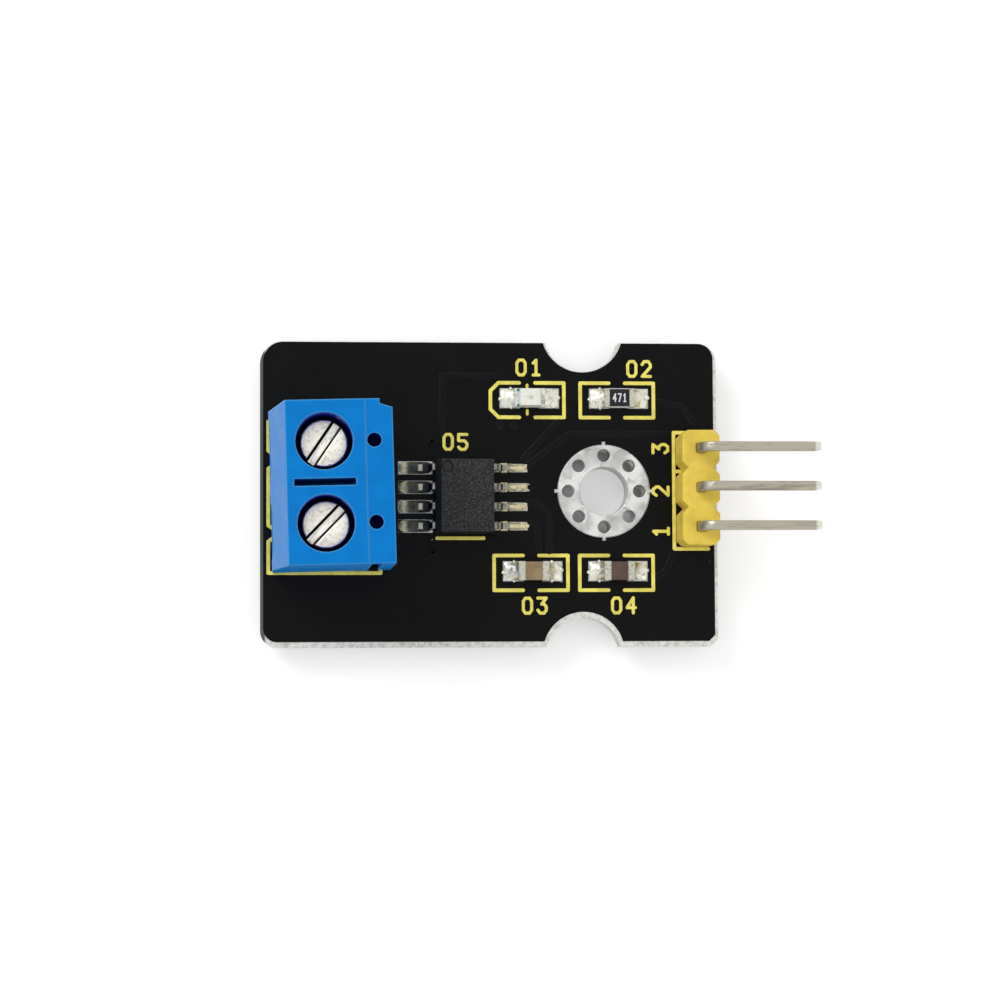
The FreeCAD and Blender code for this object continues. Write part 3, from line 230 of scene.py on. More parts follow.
def new_group(name, inputs, outputs):
    """Empty node group with named sockets, and its two end nodes."""
    tree = bpy.data.node_groups.new(name, "ShaderNodeTree")
    for label, kind in inputs.items():
        tree.interface.new_socket(label, in_out="INPUT", socket_type=SOCKETS[kind])
    for label, kind in outputs.items():
        tree.interface.new_socket(label, in_out="OUTPUT", socket_type=SOCKETS[kind])
    return tree, tree.nodes.new("NodeGroupInput"), tree.nodes.new("NodeGroupOutput")


def ramp(tree, value, low, high, start=0.0, end=1.0):
    """Smooth step of a value between two levels."""
    node = add_node(tree, "ShaderNodeMapRange", {"Value": value, "From Min": low, "From Max": high,
                                                 "To Min": start, "To Max": end},
                    interpolation_type="SMOOTHSTEP")
    return node.outputs["Result"]


def mix_colours(tree, factor, first, second):
    """Mix of two colours."""
    node = tree.nodes.new("ShaderNodeMix")
    node.data_type = "RGBA"
    for index, value in ((0, factor), (6, first), (7, second)):
        if isinstance(value, bpy.types.NodeSocket):
            tree.links.new(value, node.inputs[index])
        else:
            node.inputs[index].default_value = value
    return node.outputs[2]


def calculate(tree, operation, first, second):
    """Sum, product or the like of two values."""
    node = add_node(tree, "ShaderNodeMath", {0: first, 1: second}, operation=operation)
    return node.outputs[0]


def build_soft_edges():
    """Group that rounds edges by their normal and finds them as a mask."""
    tree, source, sink = new_group("soft_edges", {"Radius": "value"}, {"Normal": "vector", "Edge": "value"})
    bevel = add_node(tree, "ShaderNodeBevel", {"Radius": source.outputs["Radius"]}, samples=6)
    surface = tree.nodes.new("ShaderNodeNewGeometry")
    likeness = add_node(tree, "ShaderNodeVectorMath", {0: bevel.outputs[0], 1: surface.outputs["Normal"]},
                        operation="DOT_PRODUCT")
    tree.links.new(bevel.outputs[0], sink.inputs["Normal"])
    tree.links.new(ramp(tree, likeness.outputs["Value"], 0.995, 0.85), sink.inputs["Edge"])


def build_fine_grain():
    """Group with the fine and coarse unevenness of a moulded or cast surface."""
    tree, source, sink = new_group("fine_grain", {"Vector": "vector", "Scale": "value"},
                                   {"Height": "value", "Patches": "value", "Specks": "value",
                                    "Grains": "value", "Dust": "value"})
    fine = add_node(tree, "ShaderNodeTexNoise", {"Vector": source.outputs["Vector"],
                                                 "Scale": source.outputs["Scale"], "Detail": 4.0,
                                                 "Roughness": 0.6})
    coarse_scale = calculate(tree, "MULTIPLY", source.outputs["Scale"], 0.13)
    coarse = add_node(tree, "ShaderNodeTexNoise", {"Vector": source.outputs["Vector"],
                                                   "Scale": coarse_scale, "Detail": 2.0})
    speck_scale = calculate(tree, "MULTIPLY", source.outputs["Scale"], 0.3)
    cells = add_node(tree, "ShaderNodeTexVoronoi", {"Vector": source.outputs["Vector"],
                                                    "Scale": speck_scale})
    height = calculate(tree, "ADD", fine.outputs[0], coarse.outputs[0])
    tree.links.new(height, sink.inputs["Height"])
    tree.links.new(ramp(tree, coarse.outputs[0], 0.35, 0.65), sink.inputs["Patches"])
    tree.links.new(ramp(tree, cells.outputs["Distance"], 0.12, 0.04), sink.inputs["Specks"])
    tree.links.new(ramp(tree, fine.outputs[0], 0.42, 0.66), sink.inputs["Grains"])
    chosen = add_node(tree, "ShaderNodeSeparateXYZ", {"Vector": cells.outputs["Color"]})
    dot = ramp(tree, cells.outputs["Distance"], 0.07, 0.04)
    dust = calculate(tree, "MULTIPLY", dot, ramp(tree, chosen.outputs["X"], 0.9, 0.91))
    tree.links.new(dust, sink.inputs["Dust"])


def build_metal_skin():
    """Group with the cloudy stain, scratches and pits of plated metal."""
    tree, source, sink = new_group("metal_skin", {"Vector": "vector", "Scale": "value", "Metal": "colour",
                                                  "Stain": "colour", "Amount": "value"},
                                   {"Color": "colour", "Roughness": "value", "Height": "value"})
    clouds = add_node(tree, "ShaderNodeTexNoise", {"Vector": source.outputs["Vector"],
                                                   "Scale": source.outputs["Scale"], "Detail": 5.0,
                                                   "Roughness": 0.65, "Distortion": 0.6})
    pit_scale = calculate(tree, "MULTIPLY", source.outputs["Scale"], 3.0)
    pits = add_node(tree, "ShaderNodeTexVoronoi", {"Vector": source.outputs["Vector"], "Scale": pit_scale})
    pit_mask = ramp(tree, pits.outputs["Distance"], 0.22, 0.08)
    cloud_mask = ramp(tree, clouds.outputs[0], 0.48, 0.72)
    stained = calculate(tree, "MAXIMUM", cloud_mask, calculate(tree, "MULTIPLY", pit_mask, 0.6))
    share = calculate(tree, "MULTIPLY", stained, source.outputs["Amount"])
    tree.links.new(mix_colours(tree, share, source.outputs["Metal"], source.outputs["Stain"]),
                   sink.inputs["Color"])
    tree.links.new(ramp(tree, clouds.outputs[0], 0.3, 0.7, 0.24, 0.46), sink.inputs["Roughness"])
    tree.links.new(calculate(tree, "SUBTRACT", clouds.outputs[0], pit_mask), sink.inputs["Height"])


def place_group(tree, name, inputs):
    """One of the shared groups inside a material."""
    node = tree.nodes.new("ShaderNodeGroup")
    node.node_tree = bpy.data.node_groups[name]
    for label, value in inputs.items():
        if isinstance(value, bpy.types.NodeSocket):
            tree.links.new(value, node.inputs[label])
        else:
            node.inputs[label].default_value = value
    return node


def opaque(colour):
    """Colour with full cover, as a node wants it."""
    return (*colour[:3], 1.0)


def shade(colour, factor):
    """Darker or lighter version of a colour."""
    return tuple(min(1.0, channel * factor) for channel in colour[:3])


def place_vector(tree, stretch=(1, 1, 1)):
    """Place on the object, stretched along its axes."""
    place = tree.nodes.new("ShaderNodeTexCoord")
    mapping = add_node(tree, "ShaderNodeMapping", {"Vector": place.outputs["Object"], "Scale": stretch})
    return mapping.outputs[0]


# Materials

# End of each material's name, which keeps it apart from the plain one of the frame
FINISH = "_finish"

# Colours of painted edge highlights, stains, painted shade and painted dark reflections, and of a few small
# parts
DUST_GREY = display_colour(150, 150, 148)
COPPER_EDGE_HIGHLIGHT = display_colour(40, 40, 43)
LEFT_RIM_SHADE = display_colour(88, 96, 84)
EPOXY_SIDE_SHADE = display_colour(14, 14, 15)
DIMPLE_FLOOR = display_colour(52, 52, 53)
DIMPLE_WALL_SHADE = display_colour(8, 8, 8)
LEAD_DARK_REFLECTION = display_colour(40, 44, 50)
SOLDER_STAIN_AND_DARK_REFLECTION = display_colour(82, 82, 74)
SILICON = display_colour(96, 98, 110)
GLASS_EDGE_HIGHLIGHT = display_colour(60, 62, 68)
CODE_WHITE = display_colour(226, 228, 230)
HEADER_EDGE_HIGHLIGHT = display_colour(252, 232, 140)
NICKED_TIP = display_colour(242, 242, 228)
WELL_SHADE = display_colour(8, 46, 178)
SHADED_CAGE = display_colour(6, 12, 40)
ZINC_STAIN = display_colour(166, 162, 152)
SHADED_HEAD = display_colour(4, 8, 26)
CUT_STEEL = display_colour(255, 253, 246)
CUT_STAIN = display_colour(140, 132, 112)
SLOT_WALL_SHADE = display_colour(10, 9, 8)
SLOT_SHADE = display_colour(44, 38, 28)
BLACK = (0, 0, 0)

# Width of the painted shade on top of the laminate's left end, and reach of the plating round the mounting
# hole, in millimetres
LEFT_RIM = 0.3
PLATED_RADIUS = 1.68
PLATED_FADE = 0.02

# Dimple beside the first lead, from the moulding's corner, in millimetres
DIMPLE_INSET = (0.8, 0.57)
DIMPLE_RADIUS = 0.34
DIMPLE_FLOOR_RADII = (0.3, 0.26)

# Stretches of the leads and their solder with a painted dark reflection of the chip and board, on the
# solder partly flux stain as well, in millimetres to the right of the chip's middle
HEAVY_SLOPES = (-2.66, -2.16)
SIGNAL_BENDS = (2.44, 2.52)
SIGNAL_SIDE = (1.9, 2.0)
HEAVY_TOES = (-3.55, -3.04)
HEAVY_FEET = (-2.9, -2.0)
SIGNAL_FEET = (2.88, 2.96)

# Painted shade in the terminal: radii and axes of the wells and of the small holes, and depths, in
# millimetres
WELL_RADIUS = 1.82
PROBE_RADIUS = 0.48
PROBE_HOLES = {1: (-15.41, 2.32), 2: (-15.29, -2.67)}
WELL_FADE = 0.03
WELL_DEPTHS = (0.04, 0.3)
CAGE_DEPTHS = (0.1, 0.01)
HEAD_DEPTHS = (0.03, 0.12)

# Painted shade along the slot's walls, in shares of half its width
SLOT_WALL_SHADE_REACH = (0.55, 0.68)
SLOT_SHADE_REACH = (-0.5, -0.64)

# Nicked part of a pin, in millimetres from its tip
TIP_LENGTHS = (0.5, 0.3)


def new_material(name):
    """Material with its Principled shader."""
    material = bpy.data.materials.new(name + FINISH)
    material.use_nodes = True
    return material, material.node_tree, material.node_tree.nodes["Principled BSDF"]


def bump(tree, height, distance, normal=None):
    """Bump from a height, in millimetres."""
    inputs = {"Height": height, "Distance": distance * MM, "Strength": 1.0}
    if normal:
        inputs["Normal"] = normal
    return add_node(tree, "ShaderNodeBump", inputs).outputs[0]


def plastic(name, colour, edge_colour=None, grain=0.12, relief=0.004, edge=0.08, roughness=0.42,
            patches=0.1, grains=0.0, grain_colour=(1, 1, 1), gloss=0.3, edge_highlight=0.6):
    """Moulded plastic, epoxy, ceramic or mask with a painted highlight along its edges: grain size, relief
    and edge radius in millimetres.
    """
    material, tree, shader = new_material(name)
    place = place_vector(tree)
    grained = place_group(tree, "fine_grain", {"Vector": place, "Scale": 1 / (grain * MM)})
    edges = place_group(tree, "soft_edges", {"Radius": edge * MM})
    patchy = mix_colours(tree, grained.outputs["Patches"], opaque(shade(colour, 1 - patches)),
                         opaque(shade(colour, 1 + patches)))
    if grains:
        share = calculate(tree, "MULTIPLY", grained.outputs["Grains"], grains)
        patchy = mix_colours(tree, share, patchy, opaque(grain_colour))
    # Painted highlight: the edges are mixed towards edge_colour, or else towards a lighter copy of the
    # colour
    share = calculate(tree, "MULTIPLY", edges.outputs["Edge"], edge_highlight)
    tinted = mix_colours(tree, share, patchy, opaque(edge_colour or shade(colour, 1.25)))
    tree.links.new(tinted, shader.inputs["Base Color"])
    tree.links.new(ramp(tree, grained.outputs["Height"], 0.6, 1.4, roughness - 0.07, roughness + 0.07),
                   shader.inputs["Roughness"])
    tree.links.new(bump(tree, grained.outputs["Height"], relief, edges.outputs["Normal"]),
                   shader.inputs["Normal"])
    shader.inputs["Specular IOR Level"].default_value = gloss
    return material


def metal(name, colour, stain, grain=0.5, stretch=(1, 1, 1), amount=0.5, relief=0.01, edge=0.05, lift=0.0):
    """Plated or soldered metal: size of its clouds, relief and edge radius in millimetres."""
    material, tree, shader = new_material(name)
    place = place_vector(tree, stretch)
    skin = place_group(tree, "metal_skin", {"Vector": place, "Scale": 1 / (grain * MM),
                                            "Metal": opaque(colour), "Stain": opaque(stain),
                                            "Amount": amount})
    edges = place_group(tree, "soft_edges", {"Radius": edge * MM})
    tree.links.new(skin.outputs["Color"], shader.inputs["Base Color"])
    tree.links.new(calculate(tree, "ADD", skin.outputs["Roughness"], lift), shader.inputs["Roughness"])
    tree.links.new(bump(tree, skin.outputs["Height"], relief, edges.outputs["Normal"]),
                   shader.inputs["Normal"])
    shader.inputs["Metallic"].default_value = 1.0
    return material


def finished(name):
    """Material by name, made the first time that it is asked for."""
    if name + FINISH not in bpy.data.materials:
        FINISHES[name]()
    return bpy.data.materials[name + FINISH]


def place_along(tree, axis):
    """Place along one of the object's own axes, in metres."""
    place = tree.nodes.new("ShaderNodeTexCoord")
    parts = add_node(tree, "ShaderNodeSeparateXYZ", {"Vector": place.outputs["Object"]})
    return parts.outputs[axis]


def facing_up(tree):
    """How much each place faces upwards, 1 for level."""
    surface = tree.nodes.new("ShaderNodeNewGeometry")
    facing = add_node(tree, "ShaderNodeSeparateXYZ", {"Vector": surface.outputs["Normal"]})
    return facing.outputs["Z"]


def distance_from(tree, x, y):
    """Distance from an upright axis through a point in millimetres, in metres."""
    place = tree.nodes.new("ShaderNodeTexCoord")
    flat = add_node(tree, "ShaderNodeVectorMath", {0: place.outputs["Object"], 1: (1, 1, 0)},
                    operation="MULTIPLY")
    away = add_node(tree, "ShaderNodeVectorMath", {0: flat.outputs["Vector"], 1: (x * MM, y * MM, 0)},
                    operation="DISTANCE")
    return away.outputs["Value"]


def band(tree, value, start, end, soft):
    """Mask of the values between two limits in millimetres, with soft ends."""
    rising = ramp(tree, value, (start - soft) * MM, start * MM)
    falling = ramp(tree, value, (end + soft) * MM, end * MM)
    return calculate(tree, "MULTIPLY", rising, falling)


def lead_stretch(tree, stretch, soft):
    """Mask of a stretch to the right of the chip's middle, with soft ends, in millimetres."""
    start, end = stretch
    return band(tree, place_along(tree, "X"), CHIP.x + start, CHIP.x + end, soft)


def tint(material, share, colour):
    """Mix a further colour over a finished material's base colour."""
    tree = material.node_tree
    shader = tree.nodes["Principled BSDF"]
    first = shader.inputs["Base Color"].links[0].from_socket
    tree.links.new(mix_colours(tree, share, first, opaque(colour)), shader.inputs["Base Color"])


def make_solder_mask():
    """Glossy skin with a few grains of dust on it."""
    material = plastic("solder_mask", board_looks().mask, grain=0.35, relief=0.0015, edge=0.02,
                       roughness=0.36, patches=0.12, gloss=0.08)
    tree = material.node_tree
    grained = place_group(tree, "fine_grain", {"Vector": place_vector(tree), "Scale": 1 / (0.42 * MM)})
    tint(material, grained.outputs["Dust"], DUST_GREY)


def make_covered_copper():
    """Mask over copper with a painted highlight on its edges, and painted black shade in the two vias
    beside the terminal that it doesn't fill.
    """
    material = plastic("covered_copper", board_looks().covered, edge_colour=COPPER_EDGE_HIGHLIGHT, grain=0.3,
                       relief=0.003, edge=0.06, roughness=0.34, patches=0.15, gloss=0.1, edge_highlight=1.0)
    tree = material.node_tree
    for x, y in OPEN_VIAS:
        # Painted shade: the open vias are drawn black
        via_shade = ramp(tree, distance_from(tree, x, y), VIA_RADIUS * MM, VIA_DIMPLE * MM)
        tint(material, via_shade, BLACK)


def make_laminate():
    """Pale laminate with glass cloth at its sawn edge, painted shade on its left rim, plated in the hole.
    """
    colour = board_looks().laminate
    material, tree, shader = new_material("laminate")
    cloth = add_node(tree, "ShaderNodeTexNoise", {"Vector": place_vector(tree, (1.0, 1.0, 5.0)),
                                                  "Scale": 1 / (0.35 * MM), "Detail": 6.0,
                                                  "Roughness": 0.7})
    grained = place_group(tree, "fine_grain", {"Vector": place_vector(tree), "Scale": 1 / (0.12 * MM)})
    strands = ramp(tree, cloth.outputs[0], 0.42, 0.66)
    tree.links.new(mix_colours(tree, strands, opaque(colour), opaque(shade(colour, 0.66))),
                   shader.inputs["Base Color"])
    tree.links.new(bump(tree, calculate(tree, "ADD", cloth.outputs[0], grained.outputs["Height"]), 0.02),
                   shader.inputs["Normal"])
    tree.links.new(ramp(tree, cloth.outputs[0], 0.3, 0.7, 0.6, 0.85), shader.inputs["Roughness"])
    # Painted shade on the level top of the left end
    left_end = CAD_BOX[0][0] + LEFT_RIM * MM
    beside = ramp(tree, place_along(tree, "X"), left_end + PLATED_FADE * MM, left_end)
    level = ramp(tree, facing_up(tree), 0.7, 0.9)
    tint(material, calculate(tree, "MULTIPLY", beside, level), LEFT_RIM_SHADE)
    in_hole = ramp(tree, distance_from(tree, 0, 0), PLATED_RADIUS * MM, (PLATED_RADIUS - PLATED_FADE) * MM)
    tint(material, in_hole, board_looks().tin)


def make_tinned_copper():
    """Levelled tin with broad dull patches between bright ones."""
    tin = board_looks().tin
    material = metal("tinned_copper", tin, shade(tin, 0.34), grain=0.8, amount=0.85, relief=0.012, edge=0.1,
                     lift=0.02)
    tree = material.node_tree
    grained = place_group(tree, "fine_grain", {"Vector": place_vector(tree), "Scale": 1 / (0.2 * MM)})
    dull = calculate(tree, "MULTIPLY", grained.outputs["Patches"], 0.6)
    tint(material, dull, shade(tin, 0.45))


def make_metal_ends():
    """Fired tin on the ends of the resistor and the capacitors."""
    metal("metal_ends", part_looks().ends, part_looks().flux, grain=0.16, amount=0.7, relief=0.015,
          edge=0.1, lift=0.1)


def make_ink():
    """Thick printed ink."""
    plastic("ink", board_looks().ink, grain=0.1, relief=0.004, edge=0.02, roughness=0.55, patches=0.1)


def make_epoxy():
    """Filled epoxy, pale grained where its top was blasted, with painted shade on its drafted sides and
    round the wall of its dimple.
    """
    looks = part_looks()
    material = plastic("epoxy", looks.epoxy, edge_colour=looks.filler, grain=0.1, relief=0.02, edge=0.09,
                       roughness=0.6, patches=0.2, grains=0.42, grain_colour=looks.filler, gloss=0.2,
                       edge_highlight=0.35)
    tree = material.node_tree
    # Painted shade on every face that isn't level
    tint(material, ramp(tree, facing_up(tree), 0.97, 0.9), EPOXY_SIDE_SHADE)
    low, high = node_box("sensor_body")
    from_dimple = distance_from(tree, low.x + DIMPLE_INSET[0], high.y - DIMPLE_INSET[1])
    outer, inner = DIMPLE_FLOOR_RADII
    smooth = calculate(tree, "MULTIPLY", ramp(tree, from_dimple, outer * MM, inner * MM), 0.75)
    tint(material, smooth, DIMPLE_FLOOR)
    # Painted shade round the dimple's wall
    wall = band(tree, from_dimple, DIMPLE_RADIUS - 0.03, DIMPLE_RADIUS + 0.02, 0.04)
    tint(material, wall, DIMPLE_WALL_SHADE)


def make_lead_frame():
    """Matt tin, with a painted dark reflection of the chip and board on the heavy leads' slopes, at the
    signal leads' bends and a little all along them.
    """
    leads = part_looks().leads
    material = metal("lead_frame", leads, shade(leads, 0.35), grain=0.22, amount=0.75, relief=0.014,
                     edge=0.09, lift=0.08)
    tree = material.node_tree
    # Painted dark reflection of the chip and board
    tint(material, lead_stretch(tree, HEAVY_SLOPES, 0.08), LEAD_DARK_REFLECTION)
    tint(material, lead_stretch(tree, SIGNAL_BENDS, 0.05), LEAD_DARK_REFLECTION)
    start, end = SIGNAL_SIDE
    right_side = ramp(tree, place_along(tree, "X"), (CHIP.x + start) * MM, (CHIP.x + end) * MM)
    tint(material, calculate(tree, "MULTIPLY", right_side, 0.35), LEAD_DARK_REFLECTION)


def make_lead_solder():
    """Solder round the chip's leads, darker beside the heavy leads' toes and over the feet, partly flux
    stain and partly a painted dark reflection of the chip and board.
    """
    material = metal("lead_solder", part_looks().lead_solder, part_looks().flux, grain=0.24, amount=0.85,
                     relief=0.02, edge=0.05, lift=0.2)
    tree = material.node_tree
    # Darker solder: partly flux stain, partly a painted dark reflection of the chip and board
    tint(material, lead_stretch(tree, HEAVY_TOES, 0.4), SOLDER_STAIN_AND_DARK_REFLECTION)
    tint(material, lead_stretch(tree, HEAVY_FEET, 0.1), shade(SOLDER_STAIN_AND_DARK_REFLECTION, 0.6))
    tint(material, lead_stretch(tree, SIGNAL_FEET, 0.05), shade(SOLDER_STAIN_AND_DARK_REFLECTION, 0.5))


def make_solder():
    """Bright solder with a thin stain of flux."""
    metal("solder", part_looks().solder, part_looks().flux, grain=0.3, amount=0.6, relief=0.02, edge=0.02,
          lift=0.06)


def make_silicon():
    """Polished silicon."""
    plastic("silicon", SILICON, grain=0.05, relief=0.001, edge=0.02, roughness=0.22)


def make_lamp_substrate():
    """White base of the lamp."""
    plastic("lamp_substrate", part_looks().substrate, grain=0.08, relief=0.004, roughness=0.5, edge=0.03)


def make_lamp_resin():
    """Milky resin that lets some light in."""
    material = plastic("lamp_resin", part_looks().resin, grain=0.22, relief=0.006, edge=0.08,
                       roughness=0.24, patches=0.12)
    shader = material.node_tree.nodes["Principled BSDF"]
    shader.inputs["Subsurface Weight"].default_value = 0.35
    shader.inputs["Subsurface Radius"].default_value = (0.3 * MM, 0.3 * MM, 0.25 * MM)


def make_lamp_mark():
    """Green paint at the lamp's cathode."""
    plastic("lamp_mark", part_looks().lamp_mark, grain=0.08, relief=0.002, edge=0.01, roughness=0.35)


def make_alumina():
    """White ceramic of the resistor."""
    plastic("alumina", part_looks().alumina, grain=0.06, relief=0.003, edge=0.03, roughness=0.6,
            patches=0.06)


def make_black_glass():
    """Black coat of the resistor, with a painted highlight along its edges."""
    plastic("black_glass", part_looks().glass, edge_colour=GLASS_EDGE_HIGHLIGHT, grain=0.1, relief=0.002, edge=0.04,
            roughness=0.25)


def make_code_ink():
    """White ink of the resistor's digits."""
    plastic("code_ink", CODE_WHITE, grain=0.06, relief=0.001, edge=0.01, roughness=0.5)


def make_tan_ceramic():
    """Ceramic of the left capacitor."""
    plastic("tan_ceramic", part_looks().tan, grain=0.09, relief=0.004, edge=0.05, roughness=0.42,
            patches=0.12)


def make_brown_ceramic():
    """Ceramic of the right capacitor."""
    plastic("brown_ceramic", part_looks().brown, grain=0.09, relief=0.004, edge=0.05, roughness=0.42,
            patches=0.12)


def make_header_plastic():
    """Yellow plastic with a painted highlight along its edges."""
    plastic("header_plastic", connector_looks().yellow, edge_colour=HEADER_EDGE_HIGHLIGHT, grain=0.16, relief=0.006,
            edge=0.12, roughness=0.46, patches=0.1, gloss=0.25, edge_highlight=0.8)


def make_pin_metal():
    """Drawn pins with lengthwise streaks and bright nicked tips."""
    pins = connector_looks().pins
    material = metal("pin_metal", pins, shade(pins, 0.5), grain=0.5, stretch=(0.1, 1.6, 1.6), amount=0.75,
                     relief=0.03, edge=0.1, lift=0.06)
    tree = material.node_tree
    start, end = TIP_LENGTHS
    tip = ramp(tree, place_along(tree, "X"), CAD_BOX[1][0] - start * MM, CAD_BOX[1][0] - end * MM)
    tint(material, calculate(tree, "MULTIPLY", tip, 0.6), NICKED_TIP)


def make_terminal_plastic():
    """Blue plastic with a painted highlight along its edges, and painted navy shade where the wells round
    the screws and the small holes keep the light out.
    """
    looks = connector_looks()
    material = plastic("terminal_plastic", looks.blue, edge_colour=looks.highlight_blue, grain=0.22,
                       relief=0.004, edge=0.16, roughness=0.4, patches=0.05, gloss=0.1, edge_highlight=0.9)
    tree = material.node_tree
    top = node_box("terminal_housing")[1].z
    shallow, deep = WELL_DEPTHS
    # Painted shade: navy in the wells and the small holes below the top
    below = ramp(tree, place_along(tree, "Z"), (top - shallow) * MM, (top - deep) * MM)
    for number in (1, 2):
        axis = middle(f"terminal_screw_{number}")
        for x, y, radius in ((axis.x, axis.y, WELL_RADIUS), (*PROBE_HOLES[number], PROBE_RADIUS)):
            inside = ramp(tree, distance_from(tree, x, y), radius * MM, (radius - WELL_FADE) * MM)
            tint(material, calculate(tree, "MULTIPLY", inside, below), WELL_SHADE)


def make_cage_brass():
    """Brass, with painted shade on top where it is seen down the wells."""
    brass = connector_looks().brass
    material = metal("cage_brass", brass, shade(brass, 0.5), grain=0.5, amount=0.4, edge=0.08)
    tree = material.node_tree
    top = node_box("terminal_cage_1")[1].z
    deep, shallow = CAGE_DEPTHS
    near_top = ramp(tree, place_along(tree, "Z"), (top - deep) * MM, (top - shallow) * MM)
    tint(material, near_top, SHADED_CAGE)


def make_screw_steel():
    """Zinc-plated head, with painted shade below its rim where the well shades it."""
    material = metal("screw_steel", connector_looks().zinc, ZINC_STAIN, grain=0.24, amount=0.5,
                     relief=0.012, edge=0.04, lift=0.03)
    tree = material.node_tree
    shallow, deep = HEAD_DEPTHS
    # Painted shade below the rim
    tint(material, ramp(tree, place_along(tree, "Z"), -shallow * MM, -deep * MM), SHADED_HEAD)


def make_slot_steel():
    """Floor and walls of the slot, with the long marks that the cutter left and painted shade along the
    walls, near black by one and brown-grey by the other.
    """
    material = metal("slot_steel", CUT_STEEL, CUT_STAIN, grain=0.26, stretch=(0.12, 1.4, 1.0), amount=0.7,
                     relief=0.02, edge=0.04, lift=0.02)
    tree = material.node_tree
    across = place_along(tree, "Y")
    half = connector_looks().slot_width / 2
    # Painted shade along the walls
    for (start, end), colour in ((SLOT_WALL_SHADE_REACH, SLOT_WALL_SHADE), (SLOT_SHADE_REACH, SLOT_SHADE)):
        tint(material, ramp(tree, across, half * start, half * end), colour)


def make_spring_steel():
    """Drawn stainless strip."""
    spring = connector_looks().spring
    metal("spring_steel", spring, shade(spring, 0.5), grain=0.3, stretch=(0.2, 1.0, 1.0), amount=0.3,
          edge=0.04)


FINISHES = {
    "solder_mask": make_solder_mask,
    "covered_copper": make_covered_copper,
    "laminate": make_laminate,
    "tinned_copper": make_tinned_copper,
    "metal_ends": make_metal_ends,
    "ink": make_ink,
    "epoxy": make_epoxy,
    "lead_frame": make_lead_frame,
    "solder": make_solder,
    "lead_solder": make_lead_solder,
    "silicon": make_silicon,
    "lamp_substrate": make_lamp_substrate,
    "lamp_resin": make_lamp_resin,
    "lamp_mark": make_lamp_mark,
    "alumina": make_alumina,
    "black_glass": make_black_glass,
    "code_ink": make_code_ink,
    "tan_ceramic": make_tan_ceramic,
    "brown_ceramic": make_brown_ceramic,
    "header_plastic": make_header_plastic,
    "pin_metal": make_pin_metal,
    "terminal_plastic": make_terminal_plastic,
    "cage_brass": make_cage_brass,
    "screw_steel": make_screw_steel,
    "slot_steel": make_slot_steel,
    "spring_steel": make_spring_steel,
}


def finish_nodes(material, *nodes):
    """Give CAD nodes their finish."""
    for node in nodes:
        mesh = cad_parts[node].data
        mesh.materials.clear()
        mesh.materials.append(finished(material))


def soften(node, width):
    """Round a CAD node's edges in its mesh, to a width in millimetres."""
    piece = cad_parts[node]
    weld = piece.modifiers.new("weld", "WELD")
    weld.merge_threshold = 0.002 * MM
    flatten = piece.modifiers.new("flat_faces", "DECIMATE")
    flatten.decimate_type = "DISSOLVE"
    flatten.angle_limit = math.radians(1)
    bevel = piece.modifiers.new("soft_edges", "BEVEL")
    bevel.width = width * MM
    bevel.segments = 2
    bevel.limit_method = "ANGLE"
    bevel.angle_limit = math.radians(35)
    bevel.harden_normals = True


# Meshes


class Shape:
    """Points and faces of a mesh, in millimetres."""

    def __init__(self):
        self.points = []
        self.faces = []

    def add_rings(self, rings, close_low=True):
        """Skin over closed rings of equally many points, from the lowest up, with a lid."""
        start = len(self.points)
        count = len(rings[0])
        for ring in rings:
            self.points.extend(ring)
        for level in range(len(rings) - 1):
            for index in range(count):
                following = (index + 1) % count
                low = start + level * count
                high = low + count
                self.faces.append((low + index, low + following, high + following, high + index))
        if close_low:
            self.faces.append(tuple(start + index for index in reversed(range(count))))
        top = start + (len(rings) - 1) * count
        self.faces.append(tuple(top + index for index in range(count)))

    def make(self, name, material, body="root", sharp=40, place=None):
        """Object of the shape, riding on a body."""
        mesh = bpy.data.meshes.new(name)
        mesh.from_pydata([Vector(point) * MM for point in self.points], [], self.faces)
        mesh.materials.append(finished(material))
        tidy = bmesh.new()
        tidy.from_mesh(mesh)
        bmesh.ops.recalc_face_normals(tidy, faces=tidy.faces)
        tidy.to_mesh(mesh)
        tidy.free()
        mesh.shade_smooth()
        mesh.set_sharp_from_angle(angle=math.radians(sharp))
        piece = bpy.data.objects.new(name, mesh)
        bpy.context.scene.collection.objects.link(piece)
        if place:
            piece.matrix_world = place
        bpy.context.view_layer.update()
        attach(piece, body)
        return piece


def wander(point, size, seed):
    """Even pseudo-random value between -1 and 1 that varies over a size in millimetres."""
    return noise.noise(Vector(point) / size + Vector((seed * 7.3, seed * 3.1, seed * 1.7)))


def circle(x, y, radius, level, steps):
    """Level ring of points round an upright axis."""
    angles = [math.tau * step / steps for step in range(steps)]
    return [(x + radius * math.cos(angle), y + radius * math.sin(angle), level) for angle in angles]


def stroke_ring(start, end, radius, level, seed):
    """Outline of one stroke with round ends, a little uneven as ink is."""
    along = (end - start).normalized() if (end - start).length > 1e-6 else Vector((1, 0))
    turn = math.atan2(along.y, along.x)
    steps = 8
    ring = []
    for centre, first in ((end, -math.pi / 2), (start, math.pi / 2)):
        for step in range(steps + 1):
            angle = turn + first + math.pi * step / steps
            outward = (centre.x + math.cos(angle), centre.y + math.sin(angle), 0)
            reach = radius * (1 + 0.08 * wander(outward, 0.35, seed))
            ring.append((centre.x + reach * math.cos(angle), centre.y + reach * math.sin(angle), level))
    return ring


def add_stroke(shape, start, end, width, base, height, seed=1):
    """Raised stroke between two points, with a soft shoulder; a negative height hangs from the base."""
    start = Vector(start)
    end = Vector(end)
    levels = ((1.0, 0.0), (1.0, 0.45), (0.86, 0.85), (0.6, 1.0))
    shape.add_rings([stroke_ring(start, end, width / 2 * share, base + height * rise, seed)
                     for share, rise in levels])


